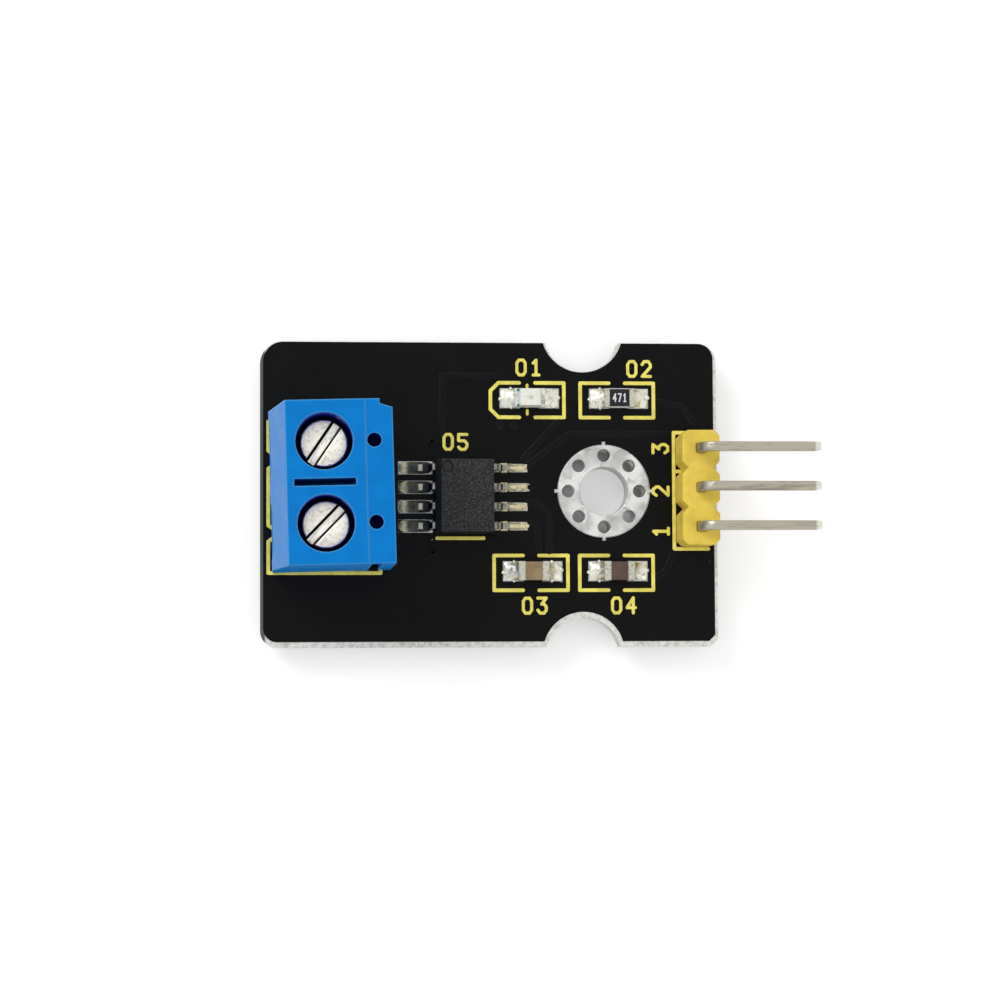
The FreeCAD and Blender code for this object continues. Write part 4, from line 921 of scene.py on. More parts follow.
def add_line(shape, points, width, base, height, seed=1):
    """Raised line through several points."""
    for index, (start, end) in enumerate(zip(points, points[1:])):
        lift = height * (1 + 0.02 * (index % 3))
        add_stroke(shape, start, end, width, base, lift, seed + index)


# Strokes of the digits in a square from 0 to 1, then the width and the spacing of digits of height 1
DIGITS = {
    "0": [[(0, 0.2), (0, 0.8), (0.25, 1), (0.75, 1), (1, 0.8), (1, 0.2), (0.75, 0), (0.25, 0), (0, 0.2)]],
    "1": [[(0.2, 0.8), (0.55, 1), (0.55, 0)], [(0.2, 0), (0.9, 0)]],
    "2": [[(0, 0.8), (0.25, 1), (0.75, 1), (1, 0.8), (1, 0.62), (0, 0), (1, 0)]],
    "3": [[(0, 1), (1, 1), (0.45, 0.6), (0.75, 0.6), (1, 0.4), (1, 0.2), (0.75, 0), (0.25, 0), (0, 0.2)]],
    "4": [[(0.75, 0), (0.75, 1), (0, 0.35), (1, 0.35)]],
    "5": [[(1, 1), (0, 1), (0, 0.58), (0.7, 0.58), (1, 0.4), (1, 0.2), (0.75, 0), (0.25, 0), (0, 0.15)]],
    "7": [[(0, 1), (1, 1), (0.35, 0)]],
}
DIGIT_WIDTH = 0.56
DIGIT_ADVANCE = 0.98


def add_number(shape, text, centre, height, width, base, rise, turn=0, squeeze=1.0):
    """Row of digits round a centre, each a few strokes, narrower than plain ones where squeezed."""
    spin = Matrix.Rotation(math.radians(turn), 2)
    start = -(len(text) - 1) * DIGIT_ADVANCE / 2
    for place, digit in enumerate(text):
        for strokes in DIGITS[digit]:
            points = []
            for x, y in strokes:
                across = (start + place * DIGIT_ADVANCE + (x - 0.5) * DIGIT_WIDTH) * squeeze
                local = Vector((across, y - 0.5)) * height
                points.append(Vector(centre) + spin @ local)
            add_line(shape, points, width, base, rise, seed=place + 3)


# Print, in millimetres: size and gap of the frames between the middles of their lines, centre and corner
# cut of each frame, ticks beside the lamp, lines round the header and the terminal and below the chip, and
# the numbers with their centres and their turn in degrees
FRAME_LENGTH = 4.85
FRAME_WIDTH = 2.27
FRAME_GAP = 1.05
FRAMES = {
    "lamp": ((-5.02, 5.98), 0.53),
    "resistor": ((0.91, 5.98), 0.0),
    "left_capacitor": ((-4.83, -5.37), 0.0),
    "right_capacitor": ((0.8, -5.37), 0.0),
}
LAMP_TICKS = (((-5.02, 6.97), (-5.02, 6.85)), ((-5.02, 5.3), (-5.02, 5.06)))
HEADER_FRAME_LEFT = 4.65
HEADER_FRAME_BACK = 3.86
HEADER_FRAME_FRONT = -3.8
HEADER_FRAME_RIGHT = 6.9
HEADER_FRAME_CROSS = 1.3
TERMINAL_LINE_X = -21.96
TERMINAL_LINES = ((4.5, 2.62), (1.42, -2.26), (-3.32, -5.36))
TERMINAL_LINE_END = -14.67
TERMINAL_LINE_TURN = -5.02
TERMINAL_CORNER = (0.3, 0.22)
TICK_SHARE = 0.8
DIGIT_SHARE = 0.84
CHIP_LINE = ((-10.98, -3.09), (-7.93, -3.09))
NUMBERS = (
    ("01", (-4.93, 8.13), 0),
    ("02", (2.4, 8.07), 0),
    ("03", (-4.6, -7.51), 0),
    ("04", (1.27, -7.51), 0),
    ("05", (-9.75, 3.21), 0),
    ("1", (3.77, -2.67), 90),
    ("2", (3.77, 0.0), 90),
    ("3", (3.77, 2.8), 90),
)


def frame_halves(centre, cut):
    """The two open halves of a printed frame."""
    x, y = centre
    left = x - FRAME_LENGTH / 2
    right = x + FRAME_LENGTH / 2
    low = y - FRAME_WIDTH / 2
    high = y + FRAME_WIDTH / 2
    gap_left = x - FRAME_GAP / 2
    gap_right = x + FRAME_GAP / 2
    corners = [(left, high), (left, low)]
    if cut:
        corners = [(left + cut, high), (left, high - cut), (left, low + cut), (left + cut, low)]
    left_half = [(gap_left, high), *corners, (gap_left, low)]
    right_half = [(gap_right, high), (right, high), (right, low), (gap_right, low)]
    return left_half, right_half


class SENSOR_OT_board(bpy.types.Operator):
    """Finish the laminate, the mask and the tinned copper"""

    bl_idname = "sensor.board"
    bl_label = "Board"

    def execute(self, context):
        finish_nodes("laminate", "circuit_board")
        finish_nodes("solder_mask", "solder_mask_top", "solder_mask_bottom")
        finish_nodes("tinned_copper", "mounting_ring", "chip_pads", "component_pads", "header_pads",
                     "terminal_pads")
        return {"FINISHED"}


# Tracks under the mask and the vias beside them, as plan points in millimetres. SUNK is how deep their
# mask starts in the board's skin, and VIA_LIFT how much more it rises than over a track.
TRACKS = (
    [(-5.3, 1.5), (-2.3, 3.75), (4.4, 3.75)],
    [(-5.3, 2.1), (-3.0, 4.6), (-2.2, 5.2)],
    [(-5.0, -0.75), (-4.3, -0.85), (-3.6, -1.5), (-3.6, -4.0)],
    [(-5.0, -2.1), (-4.4, -2.1), (-4.3, -4.2)],
    [(4.5, -4.2), (4.1, -5.2), (3.5, -5.6)],
    [(3.5, 5.9), (5.2, 5.6), (5.9, 4.6)],
    [(-10.6, 3.6), (-10.6, 7.6), (-7.2, 7.6)],
)
OPEN_VIAS = ((-11.3, 3.21), (-11.28, -3.98))
COVERED_VIAS = (*OPEN_VIAS, (-6.84, 4.27), (-5.9, 4.27), (-3.6, -3.9), (5.9, 4.6))
VIA_RADIUS = 0.3
VIA_DIMPLE = 0.14
VIA_STEPS = 20
VIA_LIFT = 1.6
SUNK = 0.001


def add_covered_via(shape, x, y, base, rise):
    """Low ring of mask over a via, with a dimple in its middle."""
    profile = ((VIA_RADIUS, 0.0), (VIA_RADIUS * 0.85, 1.0), (VIA_DIMPLE * 1.3, 1.0),
               (VIA_DIMPLE * 0.5, 0.1))
    shape.add_rings([circle(x, y, radius, base + rise * share, VIA_STEPS) for radius, share in profile])


class SENSOR_OT_tracks(bpy.types.Operator):
    """Raise the mask over the tracks and vias of both faces"""

    bl_idname = "sensor.tracks"
    bl_label = "Tracks"

    def execute(self, context):
        looks = board_looks()
        width = looks.track_width / MM
        rise = looks.track_height / MM
        top = Shape()
        for number, points in enumerate(TRACKS):
            add_line(top, points, width, MASK_TOP - SUNK, rise, seed=40 + number)
        for x, y in COVERED_VIAS:
            add_covered_via(top, x, y, MASK_TOP - SUNK, rise * VIA_LIFT)
        top.make("tracks_top", "covered_copper")
        under = Shape()
        for x, y in COVERED_VIAS:
            add_covered_via(under, x, y, MASK_UNDERSIDE + SUNK, -rise * VIA_LIFT)
        under.make("vias_bottom", "covered_copper")
        return {"FINISHED"}


class SENSOR_OT_print(bpy.types.Operator):
    """Print the frames and the numbers on the mask"""

    bl_idname = "sensor.print"
    bl_label = "Print"

    def execute(self, context):
        looks = board_looks()
        width = looks.ink_width / MM
        rise = looks.ink_height / MM
        frames = Shape()
        for number, (centre, cut) in enumerate(FRAMES.values()):
            for half in frame_halves(centre, cut):
                add_line(frames, half, width, MASK_TOP, rise, seed=number * 11)
        for start, end in LAMP_TICKS:
            add_stroke(frames, start, end, width * TICK_SHARE, MASK_TOP, rise, 5)
        self.print_connectors(frames, width, rise)
        frames.make("printed_frames", "ink")
        numbers = Shape()
        height = looks.digit_height / MM
        for text, centre, turn in NUMBERS:
            add_number(numbers, text, centre, height, width * DIGIT_SHARE, MASK_TOP, rise, turn)
        numbers.make("printed_numbers", "ink")
        return {"FINISHED"}

    def print_connectors(self, frames, width, rise):
        """Lines round the header, the terminal and below the chip."""
        around = [(HEADER_FRAME_RIGHT, HEADER_FRAME_BACK), (HEADER_FRAME_LEFT, HEADER_FRAME_BACK),
                  (HEADER_FRAME_LEFT, HEADER_FRAME_FRONT), (HEADER_FRAME_RIGHT, HEADER_FRAME_FRONT)]
        add_line(frames, around, width, MASK_TOP, rise, seed=60)
        cross_end = (HEADER_LOW.x + 0.3, HEADER_FRAME_CROSS)
        add_stroke(frames, (HEADER_FRAME_LEFT, HEADER_FRAME_CROSS), cross_end, width, MASK_TOP, rise, 70)
        add_stroke(frames, *CHIP_LINE, width, MASK_TOP, rise, 75)
        across, along = TERMINAL_CORNER
        x = TERMINAL_LINE_X
        for number, (high, low) in enumerate(TERMINAL_LINES):
            points = [(x + across, high + along), (x, high), (x, low)]
            if number < 2:
                points.append((x + across, low - along))
            else:
                points.extend([(TERMINAL_LINE_END, low), (TERMINAL_LINE_END, TERMINAL_LINE_TURN)])
            add_line(frames, points, width, MASK_TOP, rise, seed=80 + number)


# Solder

def add_fillet(shape, start, end, y, halves, heights, base, seed):
    """Concave, slightly lumpy fillet of solder from a metal end to the far edge of its pad."""
    rows = 16
    columns = 14
    narrow_from = 0.7
    narrowing = 0.55
    lump_size = 0.34
    lump_rise = 0.28
    away = 1 if end > start else -1
    grid = []
    for row in range(rows + 1):
        share = row / rows
        half = halves[0] + (halves[1] - halves[0]) * share
        narrowed = max(0.0, share - narrow_from) / 0.3
        half *= math.sqrt(max(0.0, 1 - narrowed ** 3 * narrowing))
        x = start + (end - start) * share
        line = []
        for column in range(columns + 1):
            across = -1 + 2 * column / columns
            lump = wander((x, y + across * half, seed), lump_size, seed)
            crown = (1 - abs(across) ** 3.2)
            height = heights[1] + (heights[0] - heights[1]) * (1 - share) ** 2.2
            height = height * crown * (1 + lump_rise * lump) * (1 - share ** 12)
            reach = half * (1 + 0.06 * wander((x, across, seed * 2), 0.3, seed))
            line.append((x + 0.04 * lump * share * away, y + across * reach, base + max(0.0, height)))
        grid.append(line)
    first = len(shape.points)
    for line in grid:
        shape.points.extend(line)
    stride = columns + 1
    for row in range(rows):
        for column in range(columns):
            corner = first + row * stride + column
            shape.faces.append((corner, corner + 1, corner + stride + 1, corner + stride))
    low = len(shape.points)
    heel = grid[0]
    shape.points.extend([(start, heel[0][1], base - 0.01), (start, heel[-1][1], base - 0.01)])
    shape.faces.append((low, low + 1, *[first + column for column in reversed(range(stride))]))


def add_pool(shape, low_x, high_x, y, half, height, base, seed):
    """Thin pool of solder over a whole pad, rounded at its rim."""
    steps = 36
    rings = []
    for share, rise in ((1.0, 0.0), (0.94, 0.55), (0.78, 0.85), (0.45, 1.0), (0.12, 1.05)):
        ring = []
        for step in range(steps):
            angle = math.tau * step / steps
            square = max(abs(math.cos(angle)), abs(math.sin(angle)))
            round_off = 0.3 + 0.7 / square
            x = (low_x + high_x) / 2 + math.cos(angle) * round_off * share * (high_x - low_x) / 2
            across = y + math.sin(angle) * round_off * share * half
            lump = wander((x, across, seed), 0.4, seed)
            ring.append((min(max(x, low_x), high_x), min(max(across, y - half), y + half),
                         base + height * rise * (1 + 0.3 * lump)))
        rings.append(ring)
    shape.add_rings(rings, close_low=False)


def add_pip(shape, x, y, radius, height, base, seed):
    """Small drop of solder that set beyond the rim of a pad."""
    steps = 14
    rings = []
    for share, rise in ((1.0, 0.0), (0.92, 0.45), (0.66, 0.8), (0.25, 1.0)):
        ring = []
        for step in range(steps):
            angle = math.tau * step / steps
            reach = radius * share * (1 + 0.3 * wander((math.cos(angle), math.sin(angle), seed), 0.8, seed))
            ring.append((x + math.cos(angle) * reach, y + math.sin(angle) * reach, base + height * rise))
        rings.append(ring)
    shape.add_rings(rings, close_low=False)


# Solder of the small parts, in millimetres: half length of a part, reach of its lands from its middle,
# height of the solder at each part's ends, and places of the drops that set beyond the lands
PART_HALF_LENGTH = 1.0
END_HALF_WIDTH = 0.6
LAND_INNER = 0.65
LAND_OUTER = 1.925
LAND_HALF_WIDTH = 0.625
LAND_MARGIN = 0.02
TOE_HEIGHT = 0.1
POOL_HEIGHT = 0.045
SOLDERED_PARTS = ((LAMP, 0.3), (RESISTOR, 0.42), (CAPACITORS[0], 0.6), (CAPACITORS[1], 0.6))
PIP_REACH = 1.24
SIDE_PIP = 0.13
TOE_PIP = 0.16


class SENSOR_OT_component_solder(bpy.types.Operator):
    """Flow the solder at the ends of the lamp, the resistor and the capacitors"""

    bl_idname = "sensor.component_solder"
    bl_label = "Component solder"

    def execute(self, context):
        shape = Shape()
        halves = (END_HALF_WIDTH, LAND_HALF_WIDTH - LAND_MARGIN)
        for number, (centre, rise) in enumerate(SOLDERED_PARTS):
            for side in (-1, 1):
                seed = 5 + number * 2 + side
                heel = centre.x + side * PART_HALF_LENGTH
                toe = centre.x + side * (LAND_OUTER - LAND_MARGIN)
                add_fillet(shape, heel, toe, centre.y, halves, (rise, TOE_HEIGHT), PAD_TOP, seed)
                ends = sorted((centre.x + side * LAND_INNER, toe))
                add_pool(shape, *ends, centre.y, LAND_HALF_WIDTH, POOL_HEIGHT, PAD_TOP, seed + 20)
                add_pip(shape, toe, centre.y + 0.06 * side, TOE_PIP, TOE_HEIGHT, PAD_TOP, seed + 40)
                if side < 0 or number == 3:
                    self.add_side_pips(shape, centre, side, seed + 50)
        piece = shape.make("flowed_component_solder", "solder")
        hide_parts("component_solder")
        return {"FINISHED"}

    def add_side_pips(self, shape, centre, side, seed):
        """Two drops at the long edges of one land."""
        for edge in (-1, 1):
            add_pip(shape, centre.x + side * PIP_REACH, centre.y + edge * LAND_HALF_WIDTH, SIDE_PIP,
                    SIDE_PIP, PAD_TOP, seed + edge)


# Leads and pads of the chip, in millimetres from its middle; the rounding of a heavy pad's end is a share
# of its half width
LEAD_PITCH = 1.27
LEAD_TOE = 3.0
LEAD_FOOT = 0.75
HEAVY_PAD_END = 4.26
HEAVY_PAD_HALF = 0.4
SIGNAL_PAD_END = 4.16
SIGNAL_PAD_HALF = 0.24
PAD_INNER_END = 2.05
PAD_SIDES = ((-1, HEAVY_PAD_END, HEAVY_PAD_HALF), (1, SIGNAL_PAD_END, SIGNAL_PAD_HALF))
PAD_END_ROUNDING = {1: 1.0, 2: 0.45, 3: 1.0}
LEAD_SOLDER_HEIGHTS = (0.2, 0.1)
LEAD_POOL_HEIGHT = 0.05
FOOT_POOL_HEIGHT = 0.15
FOOT_POOL_HALF = 0.11
FOOT_SIDE = 0.22


class SENSOR_OT_chip(bpy.types.Operator):
    """Finish the sensor chip and flow the solder round its leads"""

    bl_idname = "sensor.chip"
    bl_label = "Sensor chip"

    def execute(self, context):
        finish_nodes("epoxy", "sensor_body")
        finish_nodes("lead_frame", "current_loop", *[f"signal_lead_{number}" for number in range(1, 5)])
        finish_nodes("solder", "die_bumps")
        finish_nodes("silicon", "hall_die")
        soften("sensor_body", 0.05)
        shape = Shape()
        for number in range(4):
            y = CHIP.y + LEAD_PITCH * (1.5 - number)
            for side, end, half in PAD_SIDES:
                seed = 30 + number * 2 + side
                toe = CHIP.x + side * LEAD_TOE
                far = CHIP.x + side * (end - LAND_MARGIN)
                halves = (half * 0.85, half * 0.85)
                add_fillet(shape, toe, far, y, halves, LEAD_SOLDER_HEIGHTS, PAD_TOP, seed)
                ends = sorted((CHIP.x + side * (PAD_INNER_END + 0.05), far))
                add_pool(shape, *ends, y, half, LEAD_POOL_HEIGHT, PAD_TOP, seed + 9)
                foot = sorted((toe - side * LEAD_FOOT * 0.9, toe + side * 0.05))
                for edge in (-1, 1):
                    add_pool(shape, *foot, y + edge * FOOT_SIDE, FOOT_POOL_HALF, FOOT_POOL_HEIGHT, PAD_TOP,
                             seed + edge)
        self.add_horns(shape)
        piece = shape.make("flowed_chip_solder", "lead_solder")
        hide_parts("chip_solder")
        self.round_pad_ends()
        return {"FINISHED"}

    def add_horns(self, shape):
        """Solder that was drawn out at the ends of the second and fourth signal pads."""
        end = CHIP.x + SIGNAL_PAD_END
        second = CHIP.y + LEAD_PITCH / 2
        for edge in (-1, 1):
            root = (end - 0.1, second + edge * 0.08)
            tip = (end + 0.13, second + edge * 0.21)
            add_stroke(shape, root, tip, 0.1, PAD_TOP - 0.02, 0.09, 70 + edge)
        fourth = CHIP.y - LEAD_PITCH * 1.5
        add_pip(shape, end + 0.02, fourth, 0.14, 0.08, PAD_TOP - 0.01, 75)
        add_pip(shape, CHIP.x + LEAD_TOE - 0.12, fourth - SIGNAL_PAD_HALF, 0.12, 0.1, PAD_TOP - 0.01, 76)

    def round_pad_ends(self):
        """Skin of the board that laps over the outer corners of all heavy pads but the first."""
        shape = Shape()
        far = CHIP.x - HEAVY_PAD_END
        half = HEAVY_PAD_HALF + 0.01
        steps = 8
        for number, rounding in PAD_END_ROUNDING.items():
            y = CHIP.y + LEAD_PITCH * (1.5 - number)
            radius = half * rounding
            for edge in (-1, 1):
                outline = [(far - LAND_MARGIN, y + edge * half)]
                for step in range(steps + 1):
                    angle = math.pi / 2 * step / steps
                    outline.append((far + radius - radius * math.cos(angle) - LAND_MARGIN,
                                    y + edge * (half - radius + radius * math.sin(angle))))
                if edge < 0:
                    outline.reverse()
                shape.add_rings([[(x, across, level) for x, across in outline]
                                 for level in (MASK_TOP - 0.01, PAD_TOP + POOL_HEIGHT)])
        shape.make("rounded_pad_ends", "covered_copper")


def joint_ring(centre, radius, level, seed):
    """One level of a solder joint, slightly out of round."""
    steps = 28
    ring = []
    for step in range(steps):
        angle = math.tau * step / steps
        reach = radius * (1 + 0.05 * wander((math.cos(angle), math.sin(angle), level), 0.7, seed))
        ring.append((centre[0] + reach * math.cos(angle), centre[1] + reach * math.sin(angle), level))
    return ring


def add_joint(shape, centre, land, tail, length, seed):
    """Hollow cone of solder from a land on the underside to the tail that stands out of it."""
    levels = 8
    rings = []
    for step in range(levels + 1):
        share = step / levels
        radius = tail + (land - tail) * (1 - share) ** 2.4
        rings.append(joint_ring(centre, radius, PAD_UNDERSIDE - length * share, seed))
    shape.add_rings(list(reversed(rings)))


# Solder joints on the underside, in millimetres: their length, and radii at the land and at the tail
JOINT_LENGTH = 0.9
HEADER_LAND = 0.8
HEADER_TAIL = 0.5
TERMINAL_LAND = 1.14
TERMINAL_TAIL = 0.72


class SENSOR_OT_header(bpy.types.Operator):
    """Finish the pin header and its solder joints"""

    bl_idname = "sensor.header"
    bl_label = "Pin header"

    def execute(self, context):
        finish_nodes("header_plastic", "header_body")
        soften("header_body", 0.1)
        pins = [f"header_pin_{number}" for number in (1, 2, 3)]
        finish_nodes("pin_metal", *pins)
        joints = Shape()
        for number, pin in enumerate(pins):
            soften(pin, 0.05)
            low, high = node_box(pin)
            centre = (low.x + (high.y - low.y) / 2, (low.y + high.y) / 2)
            add_joint(joints, centre, HEADER_LAND, HEADER_TAIL, JOINT_LENGTH, 50 + number)
        piece = joints.make("flowed_header_joints", "solder")
        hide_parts("header_solder")
        return {"FINISHED"}


# Green marks beside the lamp's resin, and the dim image of the die and its wire on it as start, end, width
# and rise, in millimetres from the resin's middle
MARK_SIDE = 0.51
MARK_HALF_LENGTH = 0.03
MARK_WIDTH = 0.17
MARK_HEIGHT = 0.26
DIE_IMAGE = ((0.0, 0.0), (0.05, 0.0), 0.3, 0.008)
WIRE_IMAGE = ((-0.34, 0.02), (-0.1, 0.0), 0.05, 0.007)


class SENSOR_OT_lamp(bpy.types.Operator):
    """Finish the indicator lamp, with its die, wire and green marks"""

    bl_idname = "sensor.lamp"
    bl_label = "Indicator lamp"

    def execute(self, context):
        finish_nodes("lamp_substrate", "led_base")
        finish_nodes("tinned_copper", "led_terminals")
        finish_nodes("silicon", "led_die")
        finish_nodes("lamp_resin", "led_lens")
        soften("led_lens", 0.08)
        low, high = node_box("led_lens")
        centre = Vector(((low.x + high.x) / 2, (low.y + high.y) / 2))
        base = node_box("led_base")[1].z
        marks = Shape()
        for side in (-1, 1):
            y = centre.y + side * MARK_SIDE
            ends = ((low.x - MARK_HALF_LENGTH, y), (low.x + MARK_HALF_LENGTH, y))
            add_stroke(marks, *ends, MARK_WIDTH, base - 0.02, MARK_HEIGHT, 90 + side)
        marks.make("lamp_marks", "lamp_mark")
        window = Shape()
        for seed, (start, end, width, rise) in ((95, DIE_IMAGE), (96, WIRE_IMAGE)):
            ends = (centre + Vector(start), centre + Vector(end))
            add_stroke(window, *ends, width, high.z - 0.004, rise, seed)
        window.make("lamp_chip_image", "lamp_substrate")
        return {"FINISHED"}


# Digits on the resistor: width and thickness of their lines in millimetres, and their width as a share
CODE = "471"
CODE_LINE = 0.085
CODE_RISE = 0.006
CODE_SQUEEZE = 0.68


class SENSOR_OT_components(bpy.types.Operator):
    """Finish the resistor with its code and the two capacitors"""

    bl_idname = "sensor.components"
    bl_label = "Resistor and capacitors"

    def execute(self, context):
        finish_nodes("alumina", "resistor_base")
        finish_nodes("metal_ends", "resistor_ends", "capacitor_1_ends", "capacitor_2_ends")
        finish_nodes("black_glass", "resistor_coat")
        finish_nodes("brown_ceramic", "capacitor_1_body")
        finish_nodes("tan_ceramic", "capacitor_2_body")
        for node in ("resistor_ends", "capacitor_1_ends", "capacitor_2_ends"):
            soften(node, 0.05)
        coat = node_box("resistor_coat")[1].z
        height = part_looks().code_height / MM
        code = Shape()
        add_number(code, CODE, (RESISTOR.x, RESISTOR.y), height, CODE_LINE, coat, CODE_RISE,
                   squeeze=CODE_SQUEEZE)
        code.make("resistor_code", "code_ink")
        return {"FINISHED"}


class SENSOR_OT_terminal(bpy.types.Operator):
    """Finish the terminal's housing, cages and wire guards, and its solder joints"""

    bl_idname = "sensor.terminal"
    bl_label = "Screw terminal"

    def execute(self, context):
        finish_nodes("terminal_plastic", "terminal_housing")
        finish_nodes("cage_brass", "terminal_cage_1", "terminal_cage_2")
        finish_nodes("spring_steel", "wire_guard_1", "wire_guard_2")
        joints = Shape()
        for number in (1, 2):
            axis = middle(f"terminal_screw_{number}")
            add_joint(joints, (axis.x, axis.y), TERMINAL_LAND, TERMINAL_TAIL, JOINT_LENGTH, 55 + number)
        piece = joints.make("flowed_terminal_joints", "solder")
        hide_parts("terminal_solder")
        return {"FINISHED"}


# Screws: sizes in millimetres, with the head's top at 0, and the turn of each slot in degrees
HEAD_RADIUS = 1.46
HEAD_HEIGHT = 1.2
SHANK_RADIUS = 1.25
SHANK_LENGTH = 3.15
SCREW_STEPS = 72
SLOT_ANGLES = {1: 56, 2: 46}


def head_rings():
    """Rings of the screw head from its underside up, with a rolled upper edge."""
    profile = ((SHANK_RADIUS, -HEAD_HEIGHT), (HEAD_RADIUS - 0.05, -HEAD_HEIGHT),
               (HEAD_RADIUS, -HEAD_HEIGHT + 0.05), (HEAD_RADIUS, -0.07), (HEAD_RADIUS - 0.02, -0.03),
               (HEAD_RADIUS - 0.05, -0.01), (HEAD_RADIUS - 0.1, 0.0))
    return [circle(0, 0, radius, level, SCREW_STEPS) for radius, level in profile]


def thread_rings(pitch, depth):
    """Rings of the shank from its tip up, whose radius follows the thread's helix."""
    per_turn = 10
    tip_radius = 0.76
    tip_length = 0.3
    low = -HEAD_HEIGHT - SHANK_LENGTH
    count = int(SHANK_LENGTH / pitch * per_turn)
    rings = []
    for index in range(count + 1):
        level = low + SHANK_LENGTH * index / count
        tip = min(1.0, tip_radius + (1 - tip_radius) * (level - low) / tip_length)
        ring = []
        for step in range(SCREW_STEPS):
            angle = math.tau * step / SCREW_STEPS
            phase = (level / pitch - angle / math.tau) % 1
            groove = min(1.0, 2.4 * abs(phase - 0.5))
            radius = (SHANK_RADIUS - 0.01 - depth * (1 - groove)) * tip
            ring.append((radius * math.cos(angle), radius * math.sin(angle), level))
        rings.append(ring)
    return rings


def cut_slot(piece, width, depth):
    """Cut the screwdriver slot into a screw, and give its faces their own finish."""
    reach = 2 * HEAD_RADIUS
    half = width / 2
    outline = ((-reach, -half), (reach, -half), (reach, half), (-reach, half))
    cutter_shape = Shape()
    cutter_shape.add_rings([[(x, y, level) for x, y in outline] for level in (-depth, depth)])
    mesh = bpy.data.meshes.new("slot_cutter")
    mesh.from_pydata([Vector(point) * MM for point in cutter_shape.points], [], cutter_shape.faces)
    mesh.materials.append(finished("slot_steel"))
    cutter = bpy.data.objects.new("slot_cutter", mesh)
    cutter.matrix_world = piece.matrix_world
    bpy.context.scene.collection.objects.link(cutter)
    carve = piece.modifiers.new("slot", "BOOLEAN")
    carve.operation = "DIFFERENCE"
    carve.solver = "EXACT"
    carve.material_mode = "TRANSFER"
    carve.object = cutter
    round_off = piece.modifiers.new("soft_edges", "BEVEL")
    round_off.width = 0.03 * MM
    round_off.segments = 2
    round_off.limit_method = "ANGLE"
    round_off.angle_limit = math.radians(50)
    bpy.context.view_layer.update()
    shaped = piece.evaluated_get(bpy.context.evaluated_depsgraph_get())
    piece.data = bpy.data.meshes.new_from_object(shaped)
    piece.modifiers.clear()
    bpy.data.objects.remove(cutter)


class SENSOR_OT_screws(bpy.types.Operator):
    """Turn the two clamp screws, with slot and thread"""

    bl_idname = "sensor.screws"
    bl_label = "Clamp screws"

    def execute(self, context):
        looks = connector_looks()
        for number, angle in SLOT_ANGLES.items():
            node = f"terminal_screw_{number}"
            low, high = node_box(node)
            axis = (low + high) / 2
            place = (Matrix.Translation(Vector((axis.x, axis.y, high.z)) * MM)
                     @ Matrix.Rotation(math.radians(angle), 4, "Z"))
            shape = Shape()
            shape.add_rings(thread_rings(looks.thread_pitch / MM, looks.thread_depth / MM) + head_rings())
            piece = shape.make(f"clamp_screw_{number}", "screw_steel", body=f"screw_{number}", sharp=35,
                               place=place)
            cut_slot(piece, looks.slot_width / MM, looks.slot_depth / MM)
            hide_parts(node)
        return {"FINISHED"}


# Stage: places and sizes in millimetres, angles in degrees. FLOOR_GLOW lifts the floor to white where it is
# seen, apart from a ring of painted shade that shows through the plated holes.
CAMERA_PLACE = (-20.204, -11.248, 142.989)
CAMERA_TURN = (2.742, -3.76, -0.229)
FLOOR_SIZE = 4000
FLOOR_TONES = ((0.85, 0.85, 0.85), (0.87, 0.87, 0.87))
FLOOR_GRAIN = 3
FLOOR_GLOW = 0.38
RING_SHADE_PLACE = (0.44, 0.24)
RING_SHADE_INSIDE = 1.95
RING_SHADE_OUTSIDE = 2.9
KEY_PLACE = (-190, 170, 260)
KEY_SIZE = 150
FILL_PLACE = (230, -160, 240)
FILL_SIZE = 260


def shown_directly(tree):
    """Mask of the rays that see the surroundings rather than being lit by them."""
    path = tree.nodes.new("ShaderNodeLightPath")
    share = calculate(tree, "MAXIMUM", path.outputs["Is Camera Ray"], path.outputs["Is Glossy Ray"])
    return calculate(tree, "MAXIMUM", share, path.outputs["Is Transmission Ray"])


def make_floor_material():
    """White floor, open from below, that keeps the shadow, with painted shade in a ring under the mounting
    ring's holes.
    """
    material, tree, shader = new_material("studio_floor")
    grained = place_group(tree, "fine_grain", {"Vector": place_vector(tree),
                                               "Scale": 1 / (FLOOR_GRAIN * MM)})
    tones = [opaque(tone) for tone in FLOOR_TONES]
    tree.links.new(mix_colours(tree, grained.outputs["Patches"], *tones), shader.inputs["Base Color"])
    shader.inputs["Roughness"].default_value = 0.9
    shader.inputs["Specular IOR Level"].default_value = 0.0
    shader.inputs["Emission Color"].default_value = (1, 1, 1, 1)
    # Painted shade: no glow in the ring under the plated holes
    covered = band(tree, distance_from(tree, *RING_SHADE_PLACE), RING_SHADE_INSIDE, RING_SHADE_OUTSIDE,
                   0.15)
    open_floor = calculate(tree, "SUBTRACT", 1.0, covered)
    glow = calculate(tree, "MULTIPLY", open_floor, FLOOR_GLOW)
    surface = tree.nodes.new("ShaderNodeNewGeometry")
    from_above = calculate(tree, "SUBTRACT", 1.0, surface.outputs["Backfacing"])
    tree.links.new(from_above, shader.inputs["Alpha"])
    strength = calculate(tree, "MULTIPLY", shown_directly(tree), glow)
    tree.links.new(strength, shader.inputs["Emission Strength"])
    return material


def add_lamp(name, place, size, power):
    """Square soft lamp that looks at the board."""
    lamp = bpy.data.lights.new(name, "AREA")
    lamp.size = size * MM
    lamp.energy = power
    piece = bpy.data.objects.new(name, lamp)
    piece.location = Vector(place) * MM
    piece.rotation_euler = Vector(place).to_track_quat("Z", "Y").to_euler()
    bpy.context.scene.collection.objects.link(piece)
    return piece


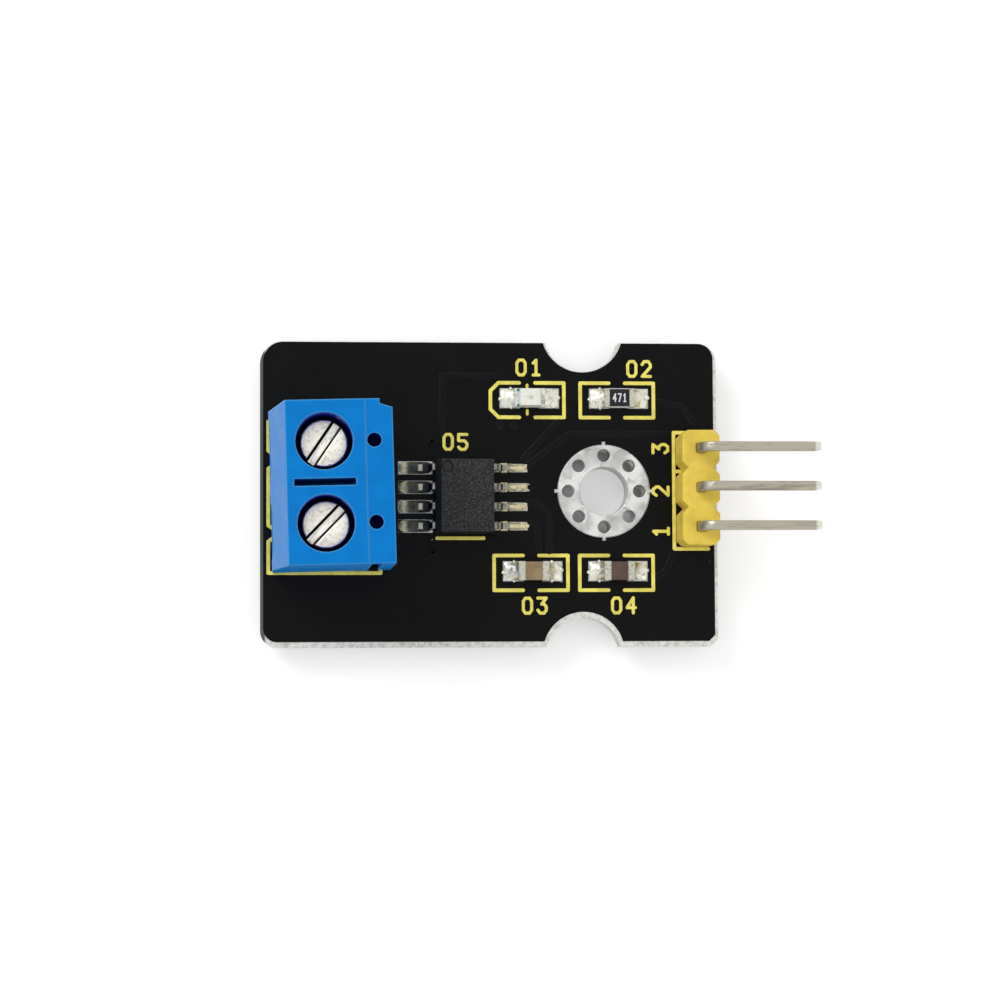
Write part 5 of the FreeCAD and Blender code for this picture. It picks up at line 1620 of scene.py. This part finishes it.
class SENSOR_OT_stage(bpy.types.Operator):
    """Set the floor, the soft light and the camera"""

    bl_idname = "sensor.stage"
    bl_label = "Stage"

    def execute(self, context):
        looks = studio_looks()
        half = FLOOR_SIZE / 2 * MM
        level = FLOOR_LEVEL * MM
        mesh = bpy.data.meshes.new("studio_floor")
        mesh.from_pydata([(-half, -half, level), (half, -half, level), (half, half, level),
                          (-half, half, level)], [], [(0, 1, 2, 3)])
        mesh.materials.append(make_floor_material())
        floor = bpy.data.objects.new("studio_floor", mesh)
        context.scene.collection.objects.link(floor)
        key = add_lamp("key_lamp", KEY_PLACE, KEY_SIZE, looks.key)
        fill = add_lamp("fill_lamp", FILL_PLACE, FILL_SIZE, looks.fill)
        self.light_room(context, looks)
        self.set_camera(context, looks)
        context.scene.view_settings.view_transform = "Standard"
        return {"FINISHED"}

    def light_room(self, context, looks):
        """White surroundings that light the object more weakly than they look."""
        world = bpy.data.worlds.new("studio_room")
        world.use_nodes = True
        tree = world.node_tree
        background = tree.nodes["Background"]
        background.inputs["Color"].default_value = (1, 1, 1, 1)
        level = ramp(tree, shown_directly(tree), 0.0, 1.0, looks.ambient, 1.0)
        tree.links.new(level, background.inputs["Strength"])
        context.scene.world = world

    def set_camera(self, context, looks):
        """Camera at the photograph's angle, for a square picture."""
        lens = bpy.data.cameras.new("photo_camera")
        lens.lens = looks.lens
        lens.sensor_width = 36
        lens.shift_x = looks.shift_x
        lens.shift_y = looks.shift_y
        lens.clip_start = 1 * MM
        lens.clip_end = 10
        camera = bpy.data.objects.new("photo_camera", lens)
        camera.location = Vector(CAMERA_PLACE) * MM
        camera.rotation_euler = [math.radians(angle) for angle in CAMERA_TURN]
        context.scene.collection.objects.link(camera)
        context.scene.camera = camera


STEPS = (
    SENSOR_OT_board,
    SENSOR_OT_tracks,
    SENSOR_OT_print,
    SENSOR_OT_chip,
    SENSOR_OT_lamp,
    SENSOR_OT_components,
    SENSOR_OT_component_solder,
    SENSOR_OT_header,
    SENSOR_OT_terminal,
    SENSOR_OT_screws,
    SENSOR_OT_stage,
)


class SENSOR_PT_pieces(bpy.types.Panel):
    """List of the sensor's pieces in the sidebar"""

    bl_idname = "SENSOR_PT_pieces"
    bl_label = "Current sensor"
    bl_space_type = "VIEW_3D"
    bl_region_type = "UI"
    bl_category = "Sensor"

    def draw(self, context):
        for step in STEPS:
            self.layout.operator(step.bl_idname)
        for name, group in LOOKS.items():
            for value in group.__annotations__:
                self.layout.prop(getattr(context.scene, name), value)


def register():
    """Make the values, operators and panel known."""
    for name, group in LOOKS.items():
        bpy.utils.register_class(group)
        setattr(bpy.types.Scene, name, bpy.props.PointerProperty(type=group))
    for step in STEPS:
        bpy.utils.register_class(step)
    bpy.utils.register_class(SENSOR_PT_pieces)


def unregister():
    """Forget the values, operators and panel."""
    bpy.utils.unregister_class(SENSOR_PT_pieces)
    for step in reversed(STEPS):
        bpy.utils.unregister_class(step)
    for name, group in LOOKS.items():
        delattr(bpy.types.Scene, name)
        bpy.utils.unregister_class(group)


def main():
    """Dress the frame from the first step to the last."""
    register()
    build_soft_edges()
    build_fine_grain()
    build_metal_skin()
    for step in STEPS:
        name = step.bl_idname.split(".")[1]
        if getattr(bpy.ops.sensor, name)() != {"FINISHED"}:
            raise RuntimeError(f"step {name} didn't finish")


if __name__ == "__main__":
    main()
